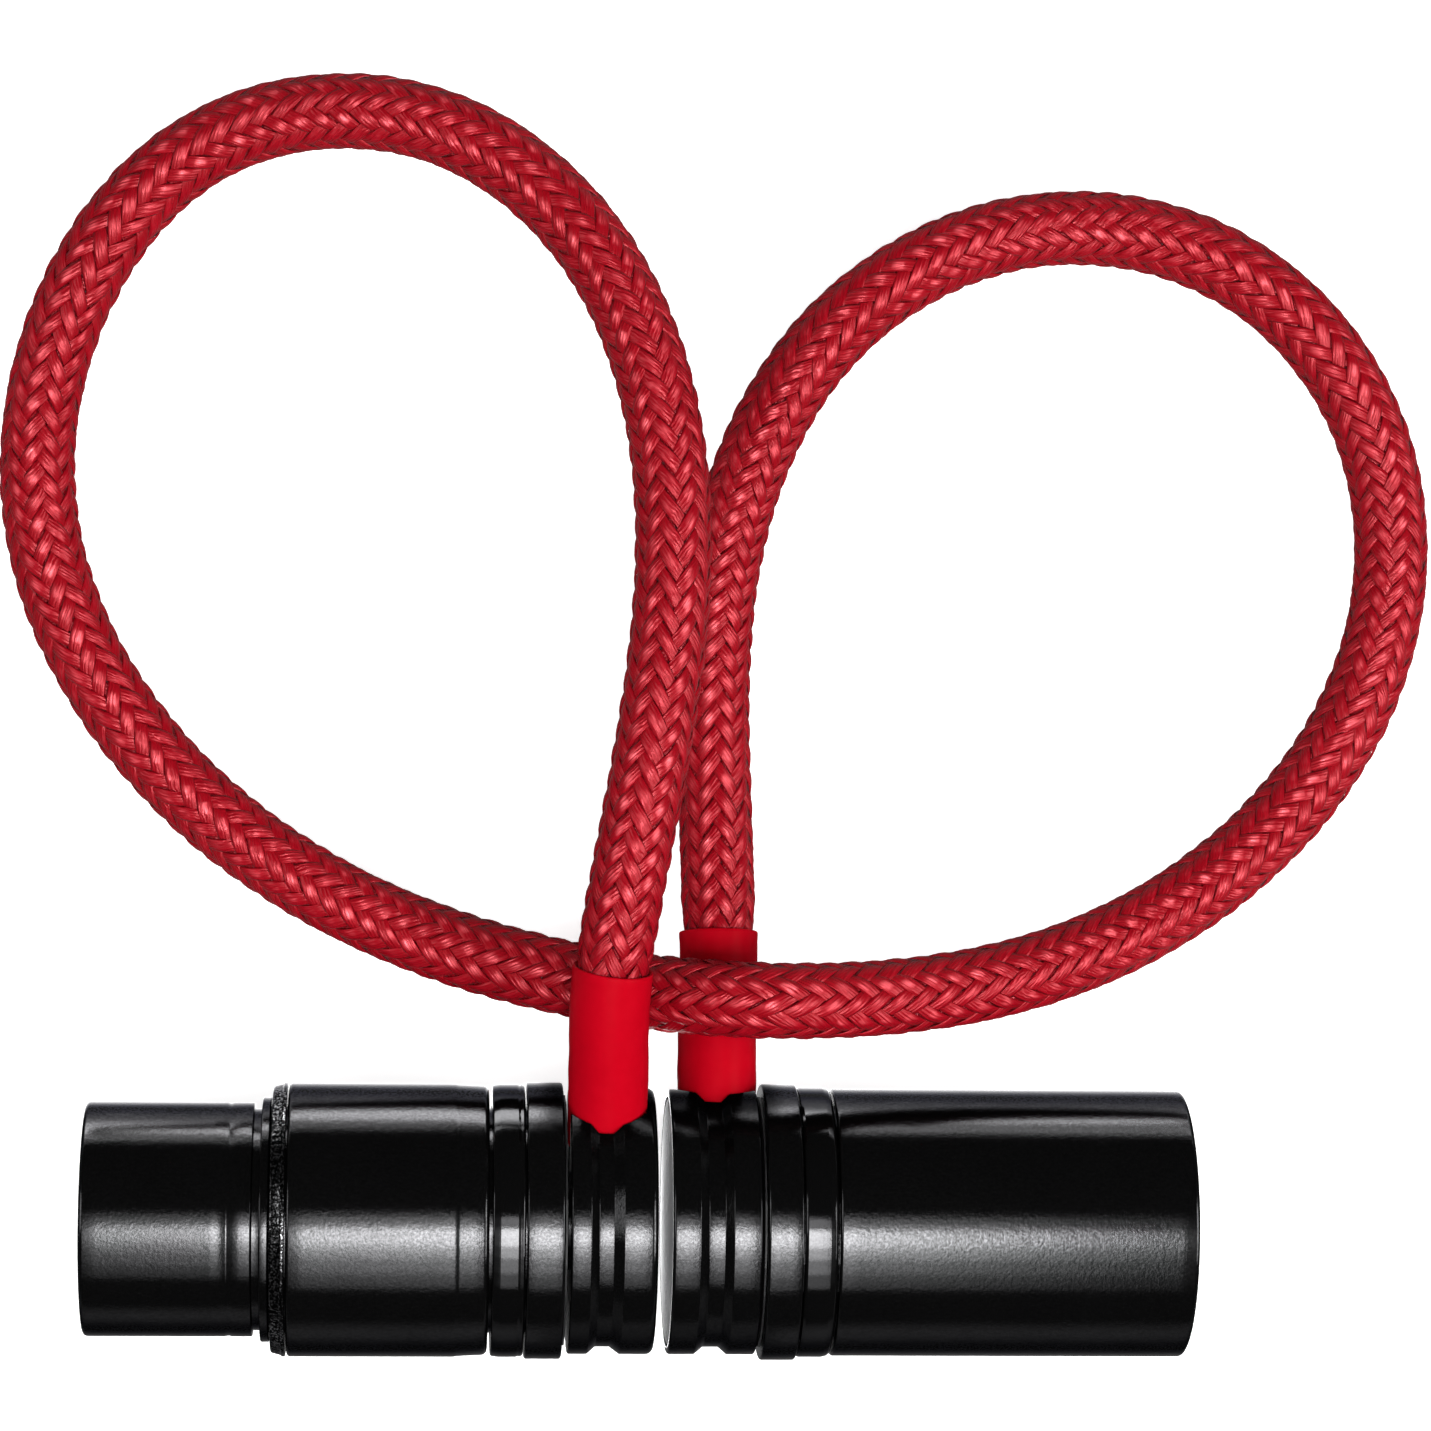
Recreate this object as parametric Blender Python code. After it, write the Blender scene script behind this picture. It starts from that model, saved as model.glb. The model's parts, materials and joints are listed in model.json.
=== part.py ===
"""Short braided audio lead with two low-profile right-angle 3-pin connectors, coiled flat on a table.

Frame: +Z up from the table, both connector axes run along X, the male plug on the left (-X) and
the female socket on the right (+X).  Lengths are in millimetres and scaled once, by MM.
"""
import bpy
import bmesh
import numpy as np
from math import cos, sin, pi, radians, sqrt
from mathutils import Vector

for old in list(bpy.data.objects):
    bpy.data.objects.remove(old, do_unlink=True)

MM = 0.001

# ---------------------------------------------------------------- connector sizes
OUTER_SIDES = 32           # sides of the outer turned parts
INNER_SIDES = 24           # sides of the inner turned parts
SNAP_SIDES = 20
PIN_SIDES = 12

NOSE_R = 9.45              # 18.9 mm plug nose of a standard 3-pin shell
NOSE_BORE_R = 8.2
SPIGOT_R = 9.1
SLEEVE_BORE_R = 9.3        # bore of the rings threaded over the plug's spigot
MALE_BARREL_R = 11.05
COLLAR_R = 11.2
MALE_CAP_R = 10.8
FEMALE_CAP_R = 10.75
CAP_GROOVE = 0.57          # depth of the groove round each cap
CAP_BORE_R = 9.6
CAP_HOLE_R = 4.3           # hole in the cap's floor for the swivel's stem
STEM_R = 4.0
STEM_BORE_R = 3.2
WASHER_R = 10.2
SNAP_IN_R, SNAP_OUT_R = 4.1, 4.95
FEMALE_BARREL_R = 10.85
SOCKET_R = 9.75            # takes the 18.9 mm nose
INSERT_R = 7.95            # 15.9 mm inserts
PIN_CIRCLE_R = 4.4         # pins 1 and 2 stand 7.62 mm apart
PIN_SPREAD = 60.0          # degrees from the latch to pins 1 and 2
PIN3_DISTANCE = 6.35       # from pin 3 to the line through pins 1 and 2
PIN3_R = PIN3_DISTANCE - PIN_CIRCLE_R * cos(radians(PIN_SPREAD))
PIN_R = 1.2
LATCH_ANGLE = -130.0       # keyway, latch and shell window, facing -Y and down

# ---------------------------------------------------------------- cable sizes
BRAID_SIDES = 12
SHRINK_SIDES = 14
CORE_SIDES = 8
BRAID_R = 3.075
BRAID_IN_R = 2.70
BRAID_TIGHT_R = 2.85       # where the heat-shrink squeezes the braid
BRAID_TIGHT_IN_R = 2.60
TIGHT_MARGIN = 0.2         # the squeeze reaches this far past the heat-shrink's rim
CORE_R = 2.35
BUNDLE_R = 0.85            # core stripped of its jacket
SHRINK_R = 3.24
SHRINK_IN_R = 2.95
CRIMP_R = 2.85
CRIMP_IN_R = 2.52
PORT_R = 3.42              # hole in the cap's wall for the cable
FLEX_CLEAR = 0.30          # between the ball end of one stretch and the cup end of the next
CUP_R = BRAID_R + FLEX_CLEAR
CUP_MARGIN = 0.8           # least run from a cup's rim to the next ring
BALL_STEPS = 3

# ---------------------------------------------------------------- overall layout
ORIGIN_X = 0.95            # the coil's middle, so that the lead is centred on the frame
ORIGIN_Y = -0.14
AXIS_Z = COLLAR_R          # both connectors rest on their widest collar
MALE_Y = -40.95
FEMALE_Y = -41.0
MALE_SEAT = (-ORIGIN_X, MALE_Y - ORIGIN_Y, AXIS_Z)
FEMALE_SEAT = (-ORIGIN_X, FEMALE_Y - ORIGIN_Y, AXIS_Z)

# where the cable leaves each cap; the tilt is in degrees above the table plane
MALE_EXIT_X, MALE_EXIT_TILT = -8.3, 22.0
FEMALE_EXIT_X, FEMALE_EXIT_TILT = 0.85, -7.0

# ---------------------------------------------------------------- materials
BLACK = dict(rgb=(0.012, 0.012, 0.013), metallic=0.9, roughness=0.35)
ALUMINIUM = dict(rgb=(0.62, 0.62, 0.63), metallic=1.0, roughness=0.3)
STEEL = dict(rgb=(0.55, 0.55, 0.56), metallic=1.0, roughness=0.3)
GOLD = dict(rgb=(0.83, 0.62, 0.26), metallic=1.0, roughness=0.22)
PLASTIC = dict(rgb=(0.02, 0.02, 0.021), metallic=0.0, roughness=0.5)
RED_SHRINK = dict(rgb=(0.58, 0.01, 0.03), metallic=0.0, roughness=0.38)
RED_BRAID = dict(rgb=(0.36, 0.015, 0.03), metallic=0.0, roughness=0.5)
JACKET = dict(rgb=(0.03, 0.03, 0.03), metallic=0.0, roughness=0.6)
BRASS = dict(rgb=(0.7, 0.5, 0.22), metallic=1.0, roughness=0.3)
NYLON = dict(rgb=(0.015, 0.015, 0.015), metallic=0.0, roughness=0.6)
CLEAR_WIRE = dict(rgb=(0.5, 0.32, 0.18), metallic=0.3, roughness=0.4)
RED_WIRE = dict(rgb=(0.5, 0.02, 0.02), metallic=0.0, roughness=0.4)
BLUE_WIRE = dict(rgb=(0.02, 0.06, 0.4), metallic=0.0, roughness=0.4)


def material(name, rgb, metallic, roughness):
    mat = bpy.data.materials.new(name)
    mat.use_nodes = True
    shader = mat.node_tree.nodes["Principled BSDF"]
    shader.inputs["Base Color"].default_value = (*rgb, 1.0)
    shader.inputs["Metallic"].default_value = metallic
    shader.inputs["Roughness"].default_value = roughness
    return mat


# ---------------------------------------------------------------- mesh helpers
def finish_mesh(name, bm, finish=None, seat=(0, 0, 0)):
    """Turns the bmesh into an object with its origin at the seat. Cutters have no finish."""
    bmesh.ops.remove_doubles(bm, verts=bm.verts, dist=1e-7)
    bmesh.ops.recalc_face_normals(bm, faces=bm.faces)
    mesh = bpy.data.meshes.new(name)
    bm.to_mesh(mesh)
    bm.free()
    body = bpy.data.objects.new(name, mesh)
    body.location = Vector(seat) * MM
    bpy.context.scene.collection.objects.link(body)
    if finish:
        mesh.materials.append(material(name + "_mat", **finish))
    return body


def vertex(bm, point):
    return bm.verts.new(Vector(point) * MM)


def ring(bm, centre, side, up, radius, sides):
    """A circle of vertices in the plane of the two unit vectors."""
    angles = [2 * pi * k / sides for k in range(sides)]
    return [vertex(bm, centre + side * radius * cos(a) + up * radius * sin(a)) for a in angles]


def skin(bm, rings, loop=False):
    """Joins consecutive rings of vertices; a ring of one is a tip. A loop joins last to first."""
    pairs = list(zip(rings, rings[1:]))
    if loop:
        pairs.append((rings[-1], rings[0]))
    for a, b in pairs:
        count = max(len(a), len(b))
        for i in range(count):
            j = (i + 1) % count
            if len(a) == 1:
                bm.faces.new((a[0], b[j], b[i]))
            elif len(b) == 1:
                bm.faces.new((a[i], a[j], b[0]))
            else:
                bm.faces.new((a[i], a[j], b[j], b[i]))


def turned(name, profile, finish, seat, sides=OUTER_SIDES, centre=(0.0, 0.0)):
    """A body of revolution about an axis along X, offset from the connector's axis by centre (y, z).

    The profile lists (x, radius) round the section; radius 0 is a tip.
    """
    bm = bmesh.new()
    rings = []
    for x, radius in profile:
        if radius == 0:
            rings.append([vertex(bm, (x, *centre))])
            continue
        angles = [2 * pi * k / sides for k in range(sides)]
        rings.append([vertex(bm, (x, centre[0] + radius * sin(a), centre[1] - radius * cos(a)))
                      for a in angles])
    skin(bm, rings, loop=profile[0][1] > 0)
    return finish_mesh(name, bm, finish, seat)


def square_ring(x0, x1, inner, outer):
    """Profile of a ring with sharp edges."""
    return [(x0, inner), (x0, outer), (x1, outer), (x1, inner)]


def broken_ring(x0, x1, inner, outer, edge=0.12):
    """Profile of a ring with its outer edges broken."""
    return [(x0, inner), (x0, outer - edge), (x0 + edge, outer), (x1 - edge, outer),
            (x1, outer - edge), (x1, inner)]


def fillet(edge_x, radius, size, outward, steps=3):
    """Profile points of a rounded outer edge, ending on the face at edge_x; outward is +1 or -1."""
    turns = [pi / 2 * k / steps for k in range(steps + 1)]
    return [(edge_x - outward * (size - size * sin(a)), radius - size + size * cos(a))
            for a in turns]


def radial(angle):
    """Unit vector square to the connector's axis, in degrees from +Y towards +Z."""
    a = radians(angle)
    return Vector((0.0, cos(a), sin(a)))


LATCH_UP = radial(LATCH_ANGLE)
LATCH_SIDE = radial(LATCH_ANGLE + 90.0)


def extruded(name, outline, half_width, finish, seat):
    """An outline of (x, distance from the axis towards the latch), extruded sideways both ways."""
    bm = bmesh.new()
    near, far = [[vertex(bm, Vector((x, 0, 0)) + LATCH_UP * height + LATCH_SIDE * offset)
                  for x, height in outline] for offset in (-half_width, half_width)]
    bm.faces.new(near)
    bm.faces.new(far[::-1])
    for i in range(len(outline)):
        j = (i + 1) % len(outline)
        bm.faces.new((near[i], far[i], far[j], near[j]))
    return finish_mesh(name, bm, finish, seat)


def block(x0, x1, low, high, half_width, seat):
    """A boolean tool on the latch side, from low to high off the connector's axis."""
    return extruded("cutter", [(x0, low), (x1, low), (x1, high), (x0, high)], half_width,
                    None, seat)


def rod(name, start, end, radius, sides, finish, seat):
    """A plain cylinder between two points given relative to the connector's axis."""
    along = (end - start).normalized()
    side = along.orthogonal().normalized()
    up = along.cross(side)
    bm = bmesh.new()
    rings = [[vertex(bm, start)]]
    rings += [ring(bm, point, side, up, radius, sides) for point in (start, end)]
    rings.append([vertex(bm, end)])
    skin(bm, rings)
    return finish_mesh(name, bm, finish, seat)


def combine(body, tool, operation="DIFFERENCE"):
    """Cuts the tool from the body, or adds it, and keeps the result as plain mesh."""
    modifier = body.modifiers.new("cut", "BOOLEAN")
    modifier.operation = operation
    modifier.solver = "EXACT"
    modifier.object = tool
    bpy.context.view_layer.update()
    depsgraph = bpy.context.evaluated_depsgraph_get()
    mesh = bpy.data.meshes.new_from_object(body.evaluated_get(depsgraph), depsgraph=depsgraph)
    body.modifiers.clear()
    body_material = body.data.materials[0]
    body.data = mesh
    mesh.materials.clear()
    mesh.materials.append(body_material)
    for polygon in mesh.polygons:
        polygon.material_index = 0
    bpy.data.objects.remove(tool, do_unlink=True)
    # clear the slivers left along the cut
    bm = bmesh.new()
    bm.from_mesh(mesh)
    bmesh.ops.remove_doubles(bm, verts=bm.verts, dist=2e-6)
    bmesh.ops.dissolve_degenerate(bm, edges=bm.edges, dist=2e-6)
    bm.to_mesh(mesh)
    bm.free()


# ---------------------------------------------------------------- parts common to both connectors
# pin number: angle, distance from the connector's axis, finish of its wire
PINS = {1: (LATCH_ANGLE + PIN_SPREAD, PIN_CIRCLE_R, CLEAR_WIRE),
        2: (LATCH_ANGLE - PIN_SPREAD, PIN_CIRCLE_R, RED_WIRE),
        3: (LATCH_ANGLE + 180, PIN3_R, BLUE_WIRE)}
WIRE_R = 0.45
WIRE_SIDES = 6


def turned_set(parts, seat):
    for name, finish, sides, profile in parts:
        turned(name, profile, finish, seat, sides)


def wires(prefix, stations_x, seat):
    """Three wires from the solder cups to a bundle on the axis, inside the swivel's hollow stem."""
    for number, (angle, pin_r, finish) in PINS.items():
        out, side = radial(angle), radial(angle + 90)
        offsets = (pin_r, pin_r - 0.3, 2.6, 1.2, 0.95)
        points = [Vector((x, 0, 0)) + out * offset for x, offset in zip(stations_x, offsets)]
        bm = bmesh.new()
        rings = [[vertex(bm, points[0])]]
        rings += [ring(bm, point, out, side, WIRE_R, WIRE_SIDES) for point in points]
        rings.append([vertex(bm, points[-1])])
        skin(bm, rings)
        finish_mesh(f"{prefix}_wire_{number}", bm, finish, seat)


def cut_port(cap, exit_x, tilt, seat):
    """The cable's hole through the cap's wall."""
    base, out = Vector((exit_x, 0, 0)), radial(tilt)
    combine(cap, rod("cutter", base + out * 4.4, base + out * 13.0, PORT_R, 20, None, seat))


def contacts(insert, prefix, profile, hole_r, hole_x, seat):
    """Bores the insert between the two hole_x and puts a contact on each pin's axis."""
    for number, (angle, pin_r, _) in PINS.items():
        centre = radial(angle) * pin_r
        start, end = [Vector((x, 0, 0)) + centre for x in hole_x]
        combine(insert, rod("cutter", start, end, hole_r, PIN_SIDES, None, seat))
        turned(f"{prefix}_{number}", profile, GOLD, seat, PIN_SIDES, (centre.y, centre.z))


# ---------------------------------------------------------------- male plug
# Profiles are (x, radius) round the section; the nose points to -X.
MALE_SHELL = [
    (-50.06, NOSE_BORE_R), (-50.36, NOSE_BORE_R + 0.25), (-50.36, NOSE_R - 0.75),
    (-50.15, NOSE_R - 0.24), (-49.6, NOSE_R), (-36.70, NOSE_R), (-36.70, 8.95), (-36.09, 8.95),
    (-36.09, 9.7), (-35.36, 9.7), (-35.36, SPIGOT_R), (-12.45, SPIGOT_R), (-12.45, NOSE_BORE_R)]

MALE_CAP = [
    (-11.31, CAP_HOLE_R), (-11.31, MALE_CAP_R - 0.15), (-11.16, MALE_CAP_R), (-9.65, MALE_CAP_R),
    (-8.95, MALE_CAP_R - CAP_GROOVE), (-7.95, MALE_CAP_R - CAP_GROOVE), (-7.15, MALE_CAP_R),
    *fillet(-4.37, MALE_CAP_R, 0.8, outward=1),
    (-4.37, CAP_BORE_R), (-10.5, CAP_BORE_R), (-10.5, CAP_HOLE_R)]

MALE_INSERT = [(-34.9, 0), (-34.9, INSERT_R), (-28.2, INSERT_R), (-28.2, 0)]

# pin with a blunt tip at -X and a solder cup at +X
MALE_PIN = [(-49.2, 0), (-49.0, 0.75), (-48.5, PIN_R), (-26.5, PIN_R), (-26.3, 1.0),
            (-21.6, 1.0), (-21.6, 0.62), (-23.4, 0.62), (-23.4, 0)]

# name, finish, sides, profile
MALE_TURNED = [
    ("male_flange_ring", BLACK, OUTER_SIDES,
     broken_ring(-35.26, -34.08, SLEEVE_BORE_R, 11.1, edge=0.15)),
    ("male_barrel", BLACK, OUTER_SIDES, [
        (-33.96, SLEEVE_BORE_R), (-33.96, MALE_BARREL_R - 0.2), (-33.76, MALE_BARREL_R),
        (-20.4, MALE_BARREL_R), (-18.0, MALE_BARREL_R - 0.18), (-17.82, MALE_BARREL_R - 0.4),
        (-17.82, SLEEVE_BORE_R)]),
    ("male_lock_ring", BLACK, OUTER_SIDES,
     broken_ring(-17.55, -14.93, SLEEVE_BORE_R, MALE_BARREL_R)),
    # collar and hollow stem in one piece; the cap turns on the stem
    ("male_swivel_collar", BLACK, OUTER_SIDES, [
        (-14.81, SLEEVE_BORE_R), (-14.81, COLLAR_R - 0.12), (-14.69, COLLAR_R),
        (-11.95, COLLAR_R), (-11.82, COLLAR_R - 0.12), (-11.82, STEM_R), (-9.2, STEM_R),
        (-9.2, STEM_BORE_R), (-12.2, STEM_BORE_R), (-12.2, SLEEVE_BORE_R)]),
    ("male_swivel_washer", NYLON, INNER_SIDES,
     square_ring(-11.75, -11.6, CAP_HOLE_R, WASHER_R)),
    ("male_snap_ring", STEEL, SNAP_SIDES, square_ring(-10.35, -9.95, SNAP_IN_R, SNAP_OUT_R)),
    # closes the cap's +X end
    ("male_end_disc", ALUMINIUM, INNER_SIDES,
     [(-4.37, 0), (-4.37, 9.25), (-4.5, 9.4), (-4.85, 9.4), (-4.85, 0)]),
]


def male_plug():
    seat = MALE_SEAT
    shell = turned("male_nose_shell", MALE_SHELL, BLACK, seat)
    combine(shell, block(-45.2, -42.6, 7.0, 12.0, 2.6, seat))      # latch window
    turned_set(MALE_TURNED, seat)
    cap = turned("male_rear_cap", MALE_CAP, BLACK, seat)
    cut_port(cap, MALE_EXIT_X, MALE_EXIT_TILT, seat)
    insert = turned("male_insert", MALE_INSERT, PLASTIC, seat, INNER_SIDES)
    contacts(insert, "male_pin", MALE_PIN, hole_r=1.4, hole_x=(-36, -27), seat=seat)
    wires("male", (-21.2, -18.6, -16.2, -13.6, -9.9), seat)


# ---------------------------------------------------------------- female socket
# Profiles are (x, radius) round the section; the socket opens to +X.
FEMALE_BARREL = [
    (10.12, SOCKET_R), (10.12, FEMALE_BARREL_R - 0.15), (10.27, FEMALE_BARREL_R),
    (38.57, FEMALE_BARREL_R), (38.97, FEMALE_BARREL_R - 0.35), (38.97, SOCKET_R + 0.2),
    (38.77, SOCKET_R)]

FEMALE_CAP = [
    (3.89, CAP_HOLE_R), (3.89, FEMALE_CAP_R - 0.15), (3.74, FEMALE_CAP_R), (1.6, FEMALE_CAP_R),
    (0.9, FEMALE_CAP_R - CAP_GROOVE), (-0.35, FEMALE_CAP_R - CAP_GROOVE), (-0.95, FEMALE_CAP_R),
    *fillet(-3.23, FEMALE_CAP_R, 0.5, outward=-1),
    (-3.23, 10.15), (-2.45, 10.15), (-2.45, CAP_BORE_R), (3.08, CAP_BORE_R), (3.08, CAP_HOLE_R)]

FEMALE_INSERT = [(38.1, 0), (38.1, 7.75), (37.9, INSERT_R), (23.5, INSERT_R), (23.5, 9.5),
                 (21.2, 9.5), (21.2, 0)]

# tube with a solder cup at -X; a 0.01 bore through the web keeps the section one loop
FEMALE_CONTACT = [(37.2, 1.28), (37.2, 1.62), (20.0, 1.62), (19.8, 1.1), (15.5, 1.1),
                  (15.5, 0.65), (17.5, 0.65), (17.5, 0.01), (23.0, 0.01), (23.0, 1.28)]

# name, finish, sides, profile
FEMALE_TURNED = [
    ("female_chassis", BLACK, INNER_SIDES, square_ring(4.95, 16.2, 8.4, 9.45)),
    ("female_lock_ring", BLACK, OUTER_SIDES, broken_ring(7.29, 9.95, SOCKET_R, 10.95)),
    # collar and hollow stem in one piece; the cap turns on the stem
    ("female_swivel_collar", BLACK, OUTER_SIDES, [
        (7.17, SOCKET_R), (7.17, COLLAR_R - 0.12), (7.05, COLLAR_R), (4.47, COLLAR_R),
        (4.35, COLLAR_R - 0.12), (4.35, STEM_R), (1.9, STEM_R), (1.9, STEM_BORE_R),
        (4.75, STEM_BORE_R), (4.75, SOCKET_R)]),
    ("female_swivel_washer", NYLON, INNER_SIDES, square_ring(4.14, 4.28, CAP_HOLE_R, WASHER_R)),
    ("female_snap_ring", STEEL, SNAP_SIDES, square_ring(2.5, 2.9, SNAP_IN_R, SNAP_OUT_R)),
    # closes the cap's -X end
    ("female_end_disc", ALUMINIUM, OUTER_SIDES,
     [(-3.23, 0), (-3.23, 9.85), (-3.1, 9.95), (-2.65, 9.95), (-2.65, 0)]),
]

# outlines of (x, distance from the axis towards the latch)
LATCH_LEVER = [(13.0, 6.9), (32.4, 6.9), (32.4, 8.0), (31.6, 8.9), (31.0, 8.9), (30.6, 7.6),
               (13.0, 7.6)]
LATCH_BUTTON = [(16.9, 7.75), (21.5, 7.75), (21.5, 10.75), (21.1, 11.15), (17.3, 11.15),
                (16.9, 10.75)]
LATCH_HALF_WIDTH = 2.0
LATCH_PIN_X, LATCH_PIN_HEIGHT = 13.8, 6.2
LATCH_PIN_R, LATCH_PIN_HALF = 0.55, 4.7

SPRING_X = 19.3
SPRING_LOW, SPRING_HIGH = 3.75, 6.6    # ends of the coil, measured from the connector's axis
SPRING_R = 1.05
SPRING_WIRE_R = 0.22
SPRING_WIRE_SIDES = 5
SPRING_TURNS = 4
SPRING_TURN_STEPS = 10


def female_insert(seat):
    insert = turned("female_insert", FEMALE_INSERT, PLASTIC, seat, INNER_SIDES)
    combine(insert, block(20.0, 40.0, 5.4, 11.0, 2.5, seat))             # groove for the latch
    combine(insert, block(17.8, 21.6, 2.6, 3.4, 1.6, seat), "UNION")     # shelf below the spring
    contacts(insert, "female_contact", FEMALE_CONTACT, hole_r=1.9, hole_x=(20, 40), seat=seat)


def latch_spring(seat):
    bm = bmesh.new()
    steps = SPRING_TURNS * SPRING_TURN_STEPS
    centres, rings = [], []
    for k in range(steps + 1):
        a = 2 * pi * k / SPRING_TURN_STEPS
        out = Vector((cos(a), 0, 0)) + LATCH_SIDE * sin(a)
        along = (Vector((-sin(a), 0, 0)) + LATCH_SIDE * cos(a)).normalized()
        height = SPRING_LOW + (SPRING_HIGH - SPRING_LOW) * (k / steps)
        centre = Vector((SPRING_X, 0, 0)) + out * SPRING_R + LATCH_UP * height
        centres.append(centre)
        rings.append(ring(bm, centre, out, along.cross(out), SPRING_WIRE_R, SPRING_WIRE_SIDES))
    skin(bm, [[vertex(bm, centres[0])], *rings, [vertex(bm, centres[-1])]])
    finish_mesh("female_latch_spring", bm, STEEL, seat)


def push_latch(seat):
    """A sprung lever under the button, hooked into the plug's window when mated."""
    extruded("female_latch_lever", LATCH_LEVER, LATCH_HALF_WIDTH, STEEL, seat)
    extruded("female_latch_button", LATCH_BUTTON, LATCH_HALF_WIDTH, BLACK, seat)
    middle = Vector((LATCH_PIN_X, 0, 0)) + LATCH_UP * LATCH_PIN_HEIGHT
    reach = LATCH_SIDE * LATCH_PIN_HALF
    rod("female_latch_pin", middle - reach, middle + reach, LATCH_PIN_R, 10, STEEL, seat)
    latch_spring(seat)


def female_socket():
    seat = FEMALE_SEAT
    barrel = turned("female_barrel", FEMALE_BARREL, BLACK, seat)
    combine(barrel, block(16.5, 21.9, 8.0, 13.0, 2.35, seat))      # opening for the button
    turned_set(FEMALE_TURNED, seat)
    cap = turned("female_rear_cap", FEMALE_CAP, BLACK, seat)
    cut_port(cap, FEMALE_EXIT_X, FEMALE_EXIT_TILT, seat)
    female_insert(seat)
    wires("female", (15.1, 12.5, 10.1, 6.4, 2.7), seat)
    push_latch(seat)


# ---------------------------------------------------------------- cable path
EXIT_DISTANCES = (0.6, 4.0, 7.0, 10.0, 13.5)    # from the connector's axis, along the way out
SPAN_STEPS = 60                                 # path samples between two waypoints

# (x, y, z) of the coil as it lies, before it is centred on the frame
LEFT_RISE = [(-8.3, -22.0, 18.7), (-7.5, -15.5, 19.8), (-4.5, 2.5, 19.6), (-4.0, 20.5, 18.0)]
LEFT_LOOP = [(-9.8, 37.4, 15.5), (-23.2, 47.9, 13.0), (-40.9, 46.4, 11.0), (-52.7, 32.3, 9.0),
             (-54.5, 14.1, 7.5), (-46.6, -2.0, 7.0), (-33.0, -13.5, 8.0)]
# under the plug's heat-shrink and over the socket's
CROSSING = [(-16.3, -20.2, 9.4), (-8.4, -21.8, 11.1), (0.6, -22.5, 15.9), (4.5, -22.6, 17.0),
            (10.6, -22.6, 15.6), (29.3, -19.5, 11.0)]
RIGHT_LOOP = [(45.6, -9.7, 8.5), (55.8, 6.5, 6.8), (55.0, 24.9, 6.0), (43.3, 38.0, 6.0),
              (25.1, 40.5, 6.6), (9.1, 30.9, 7.0)]
RIGHT_FALL = [(1.4, 13.8, 6.3), (0.6, -5.0, 6.2), (1.0, -17.5, 7.8), (0.95, -22.5, 8.6)]


def exit_points(x, y, tilt):
    """Waypoints on the straight way out of a cap, starting near the connector's axis."""
    a = radians(tilt)
    return [(x, y + d * cos(a), AXIS_Z + d * sin(a)) for d in EXIT_DISTANCES]


def waypoints():
    """From the plug's cap round both loops to the socket's cap."""
    male = exit_points(MALE_EXIT_X, MALE_Y, MALE_EXIT_TILT)
    female = exit_points(FEMALE_EXIT_X, FEMALE_Y, FEMALE_EXIT_TILT)[::-1]
    points = male + LEFT_RISE + LEFT_LOOP + CROSSING + RIGHT_LOOP + RIGHT_FALL + female
    return np.array(points) - np.array([ORIGIN_X, ORIGIN_Y, 0.0])


def arc_lengths(points):
    return np.r_[0.0, np.cumsum(np.linalg.norm(np.diff(points, axis=0), axis=1))]


def natural_spline(points):
    """Samples of a natural cubic spline through the points, against chord length."""
    spans = np.diff(arc_lengths(points))
    count = len(points)
    matrix = np.zeros((count, count))
    rhs = np.zeros((count, 3))
    matrix[0, 0] = matrix[-1, -1] = 1.0
    for i in range(1, count - 1):
        before, after = spans[i - 1], spans[i]
        matrix[i, i - 1:i + 2] = before, 2 * (before + after), after
        rhs[i] = 6 * ((points[i + 1] - points[i]) / after - (points[i] - points[i - 1]) / before)
    bend = np.linalg.solve(matrix, rhs)         # second derivatives at the points
    samples = []
    for i, span in enumerate(spans):
        for k in range(SPAN_STEPS):
            done = span * k / SPAN_STEPS
            left = span - done
            samples.append(bend[i] * left ** 3 / (6 * span) + bend[i + 1] * done ** 3 / (6 * span)
                           + (points[i] / span - bend[i] * span / 6) * left
                           + (points[i + 1] / span - bend[i + 1] * span / 6) * done)
    samples.append(points[-1])
    return np.array(samples)


def transported(tangents):
    """A side vector carried along the path without twisting."""
    sides = np.zeros_like(tangents)
    sides[0] = np.cross(tangents[0], (1.0, 0.0, 0.0))
    sides[0] /= np.linalg.norm(sides[0])
    for i in range(1, len(tangents)):
        side = sides[i - 1] - tangents[i] * (sides[i - 1] @ tangents[i])
        sides[i] = side / np.linalg.norm(side)
    return sides


PATH = natural_spline(waypoints())
ARC = arc_lengths(PATH)
LENGTH = ARC[-1]
TANGENTS = np.gradient(PATH, ARC, axis=0)
TANGENTS /= np.linalg.norm(TANGENTS, axis=1)[:, None]
CURVATURE = np.linalg.norm(np.gradient(TANGENTS, ARC, axis=0), axis=1)
SIDES = transported(TANGENTS)


def frame_at(s):
    """Place, tangent and two cross directions at arc length s."""
    point, along, side = [np.array([np.interp(s, ARC, values[:, k]) for k in range(3)])
                          for values in (PATH, TANGENTS, SIDES)]
    along /= np.linalg.norm(along)
    side -= along * (side @ along)
    side /= np.linalg.norm(side)
    return point, along, side, np.cross(along, side)


def arc_where(x, y, low, high):
    """Arc length, between two fractions of the path, at which the plan position is nearest."""
    near = np.flatnonzero((ARC >= low * LENGTH) & (ARC <= high * LENGTH))
    gap = np.hypot(PATH[near, 0] - (x - ORIGIN_X), PATH[near, 1] - (y - ORIGIN_Y))
    return ARC[near[gap.argmin()]]


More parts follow.
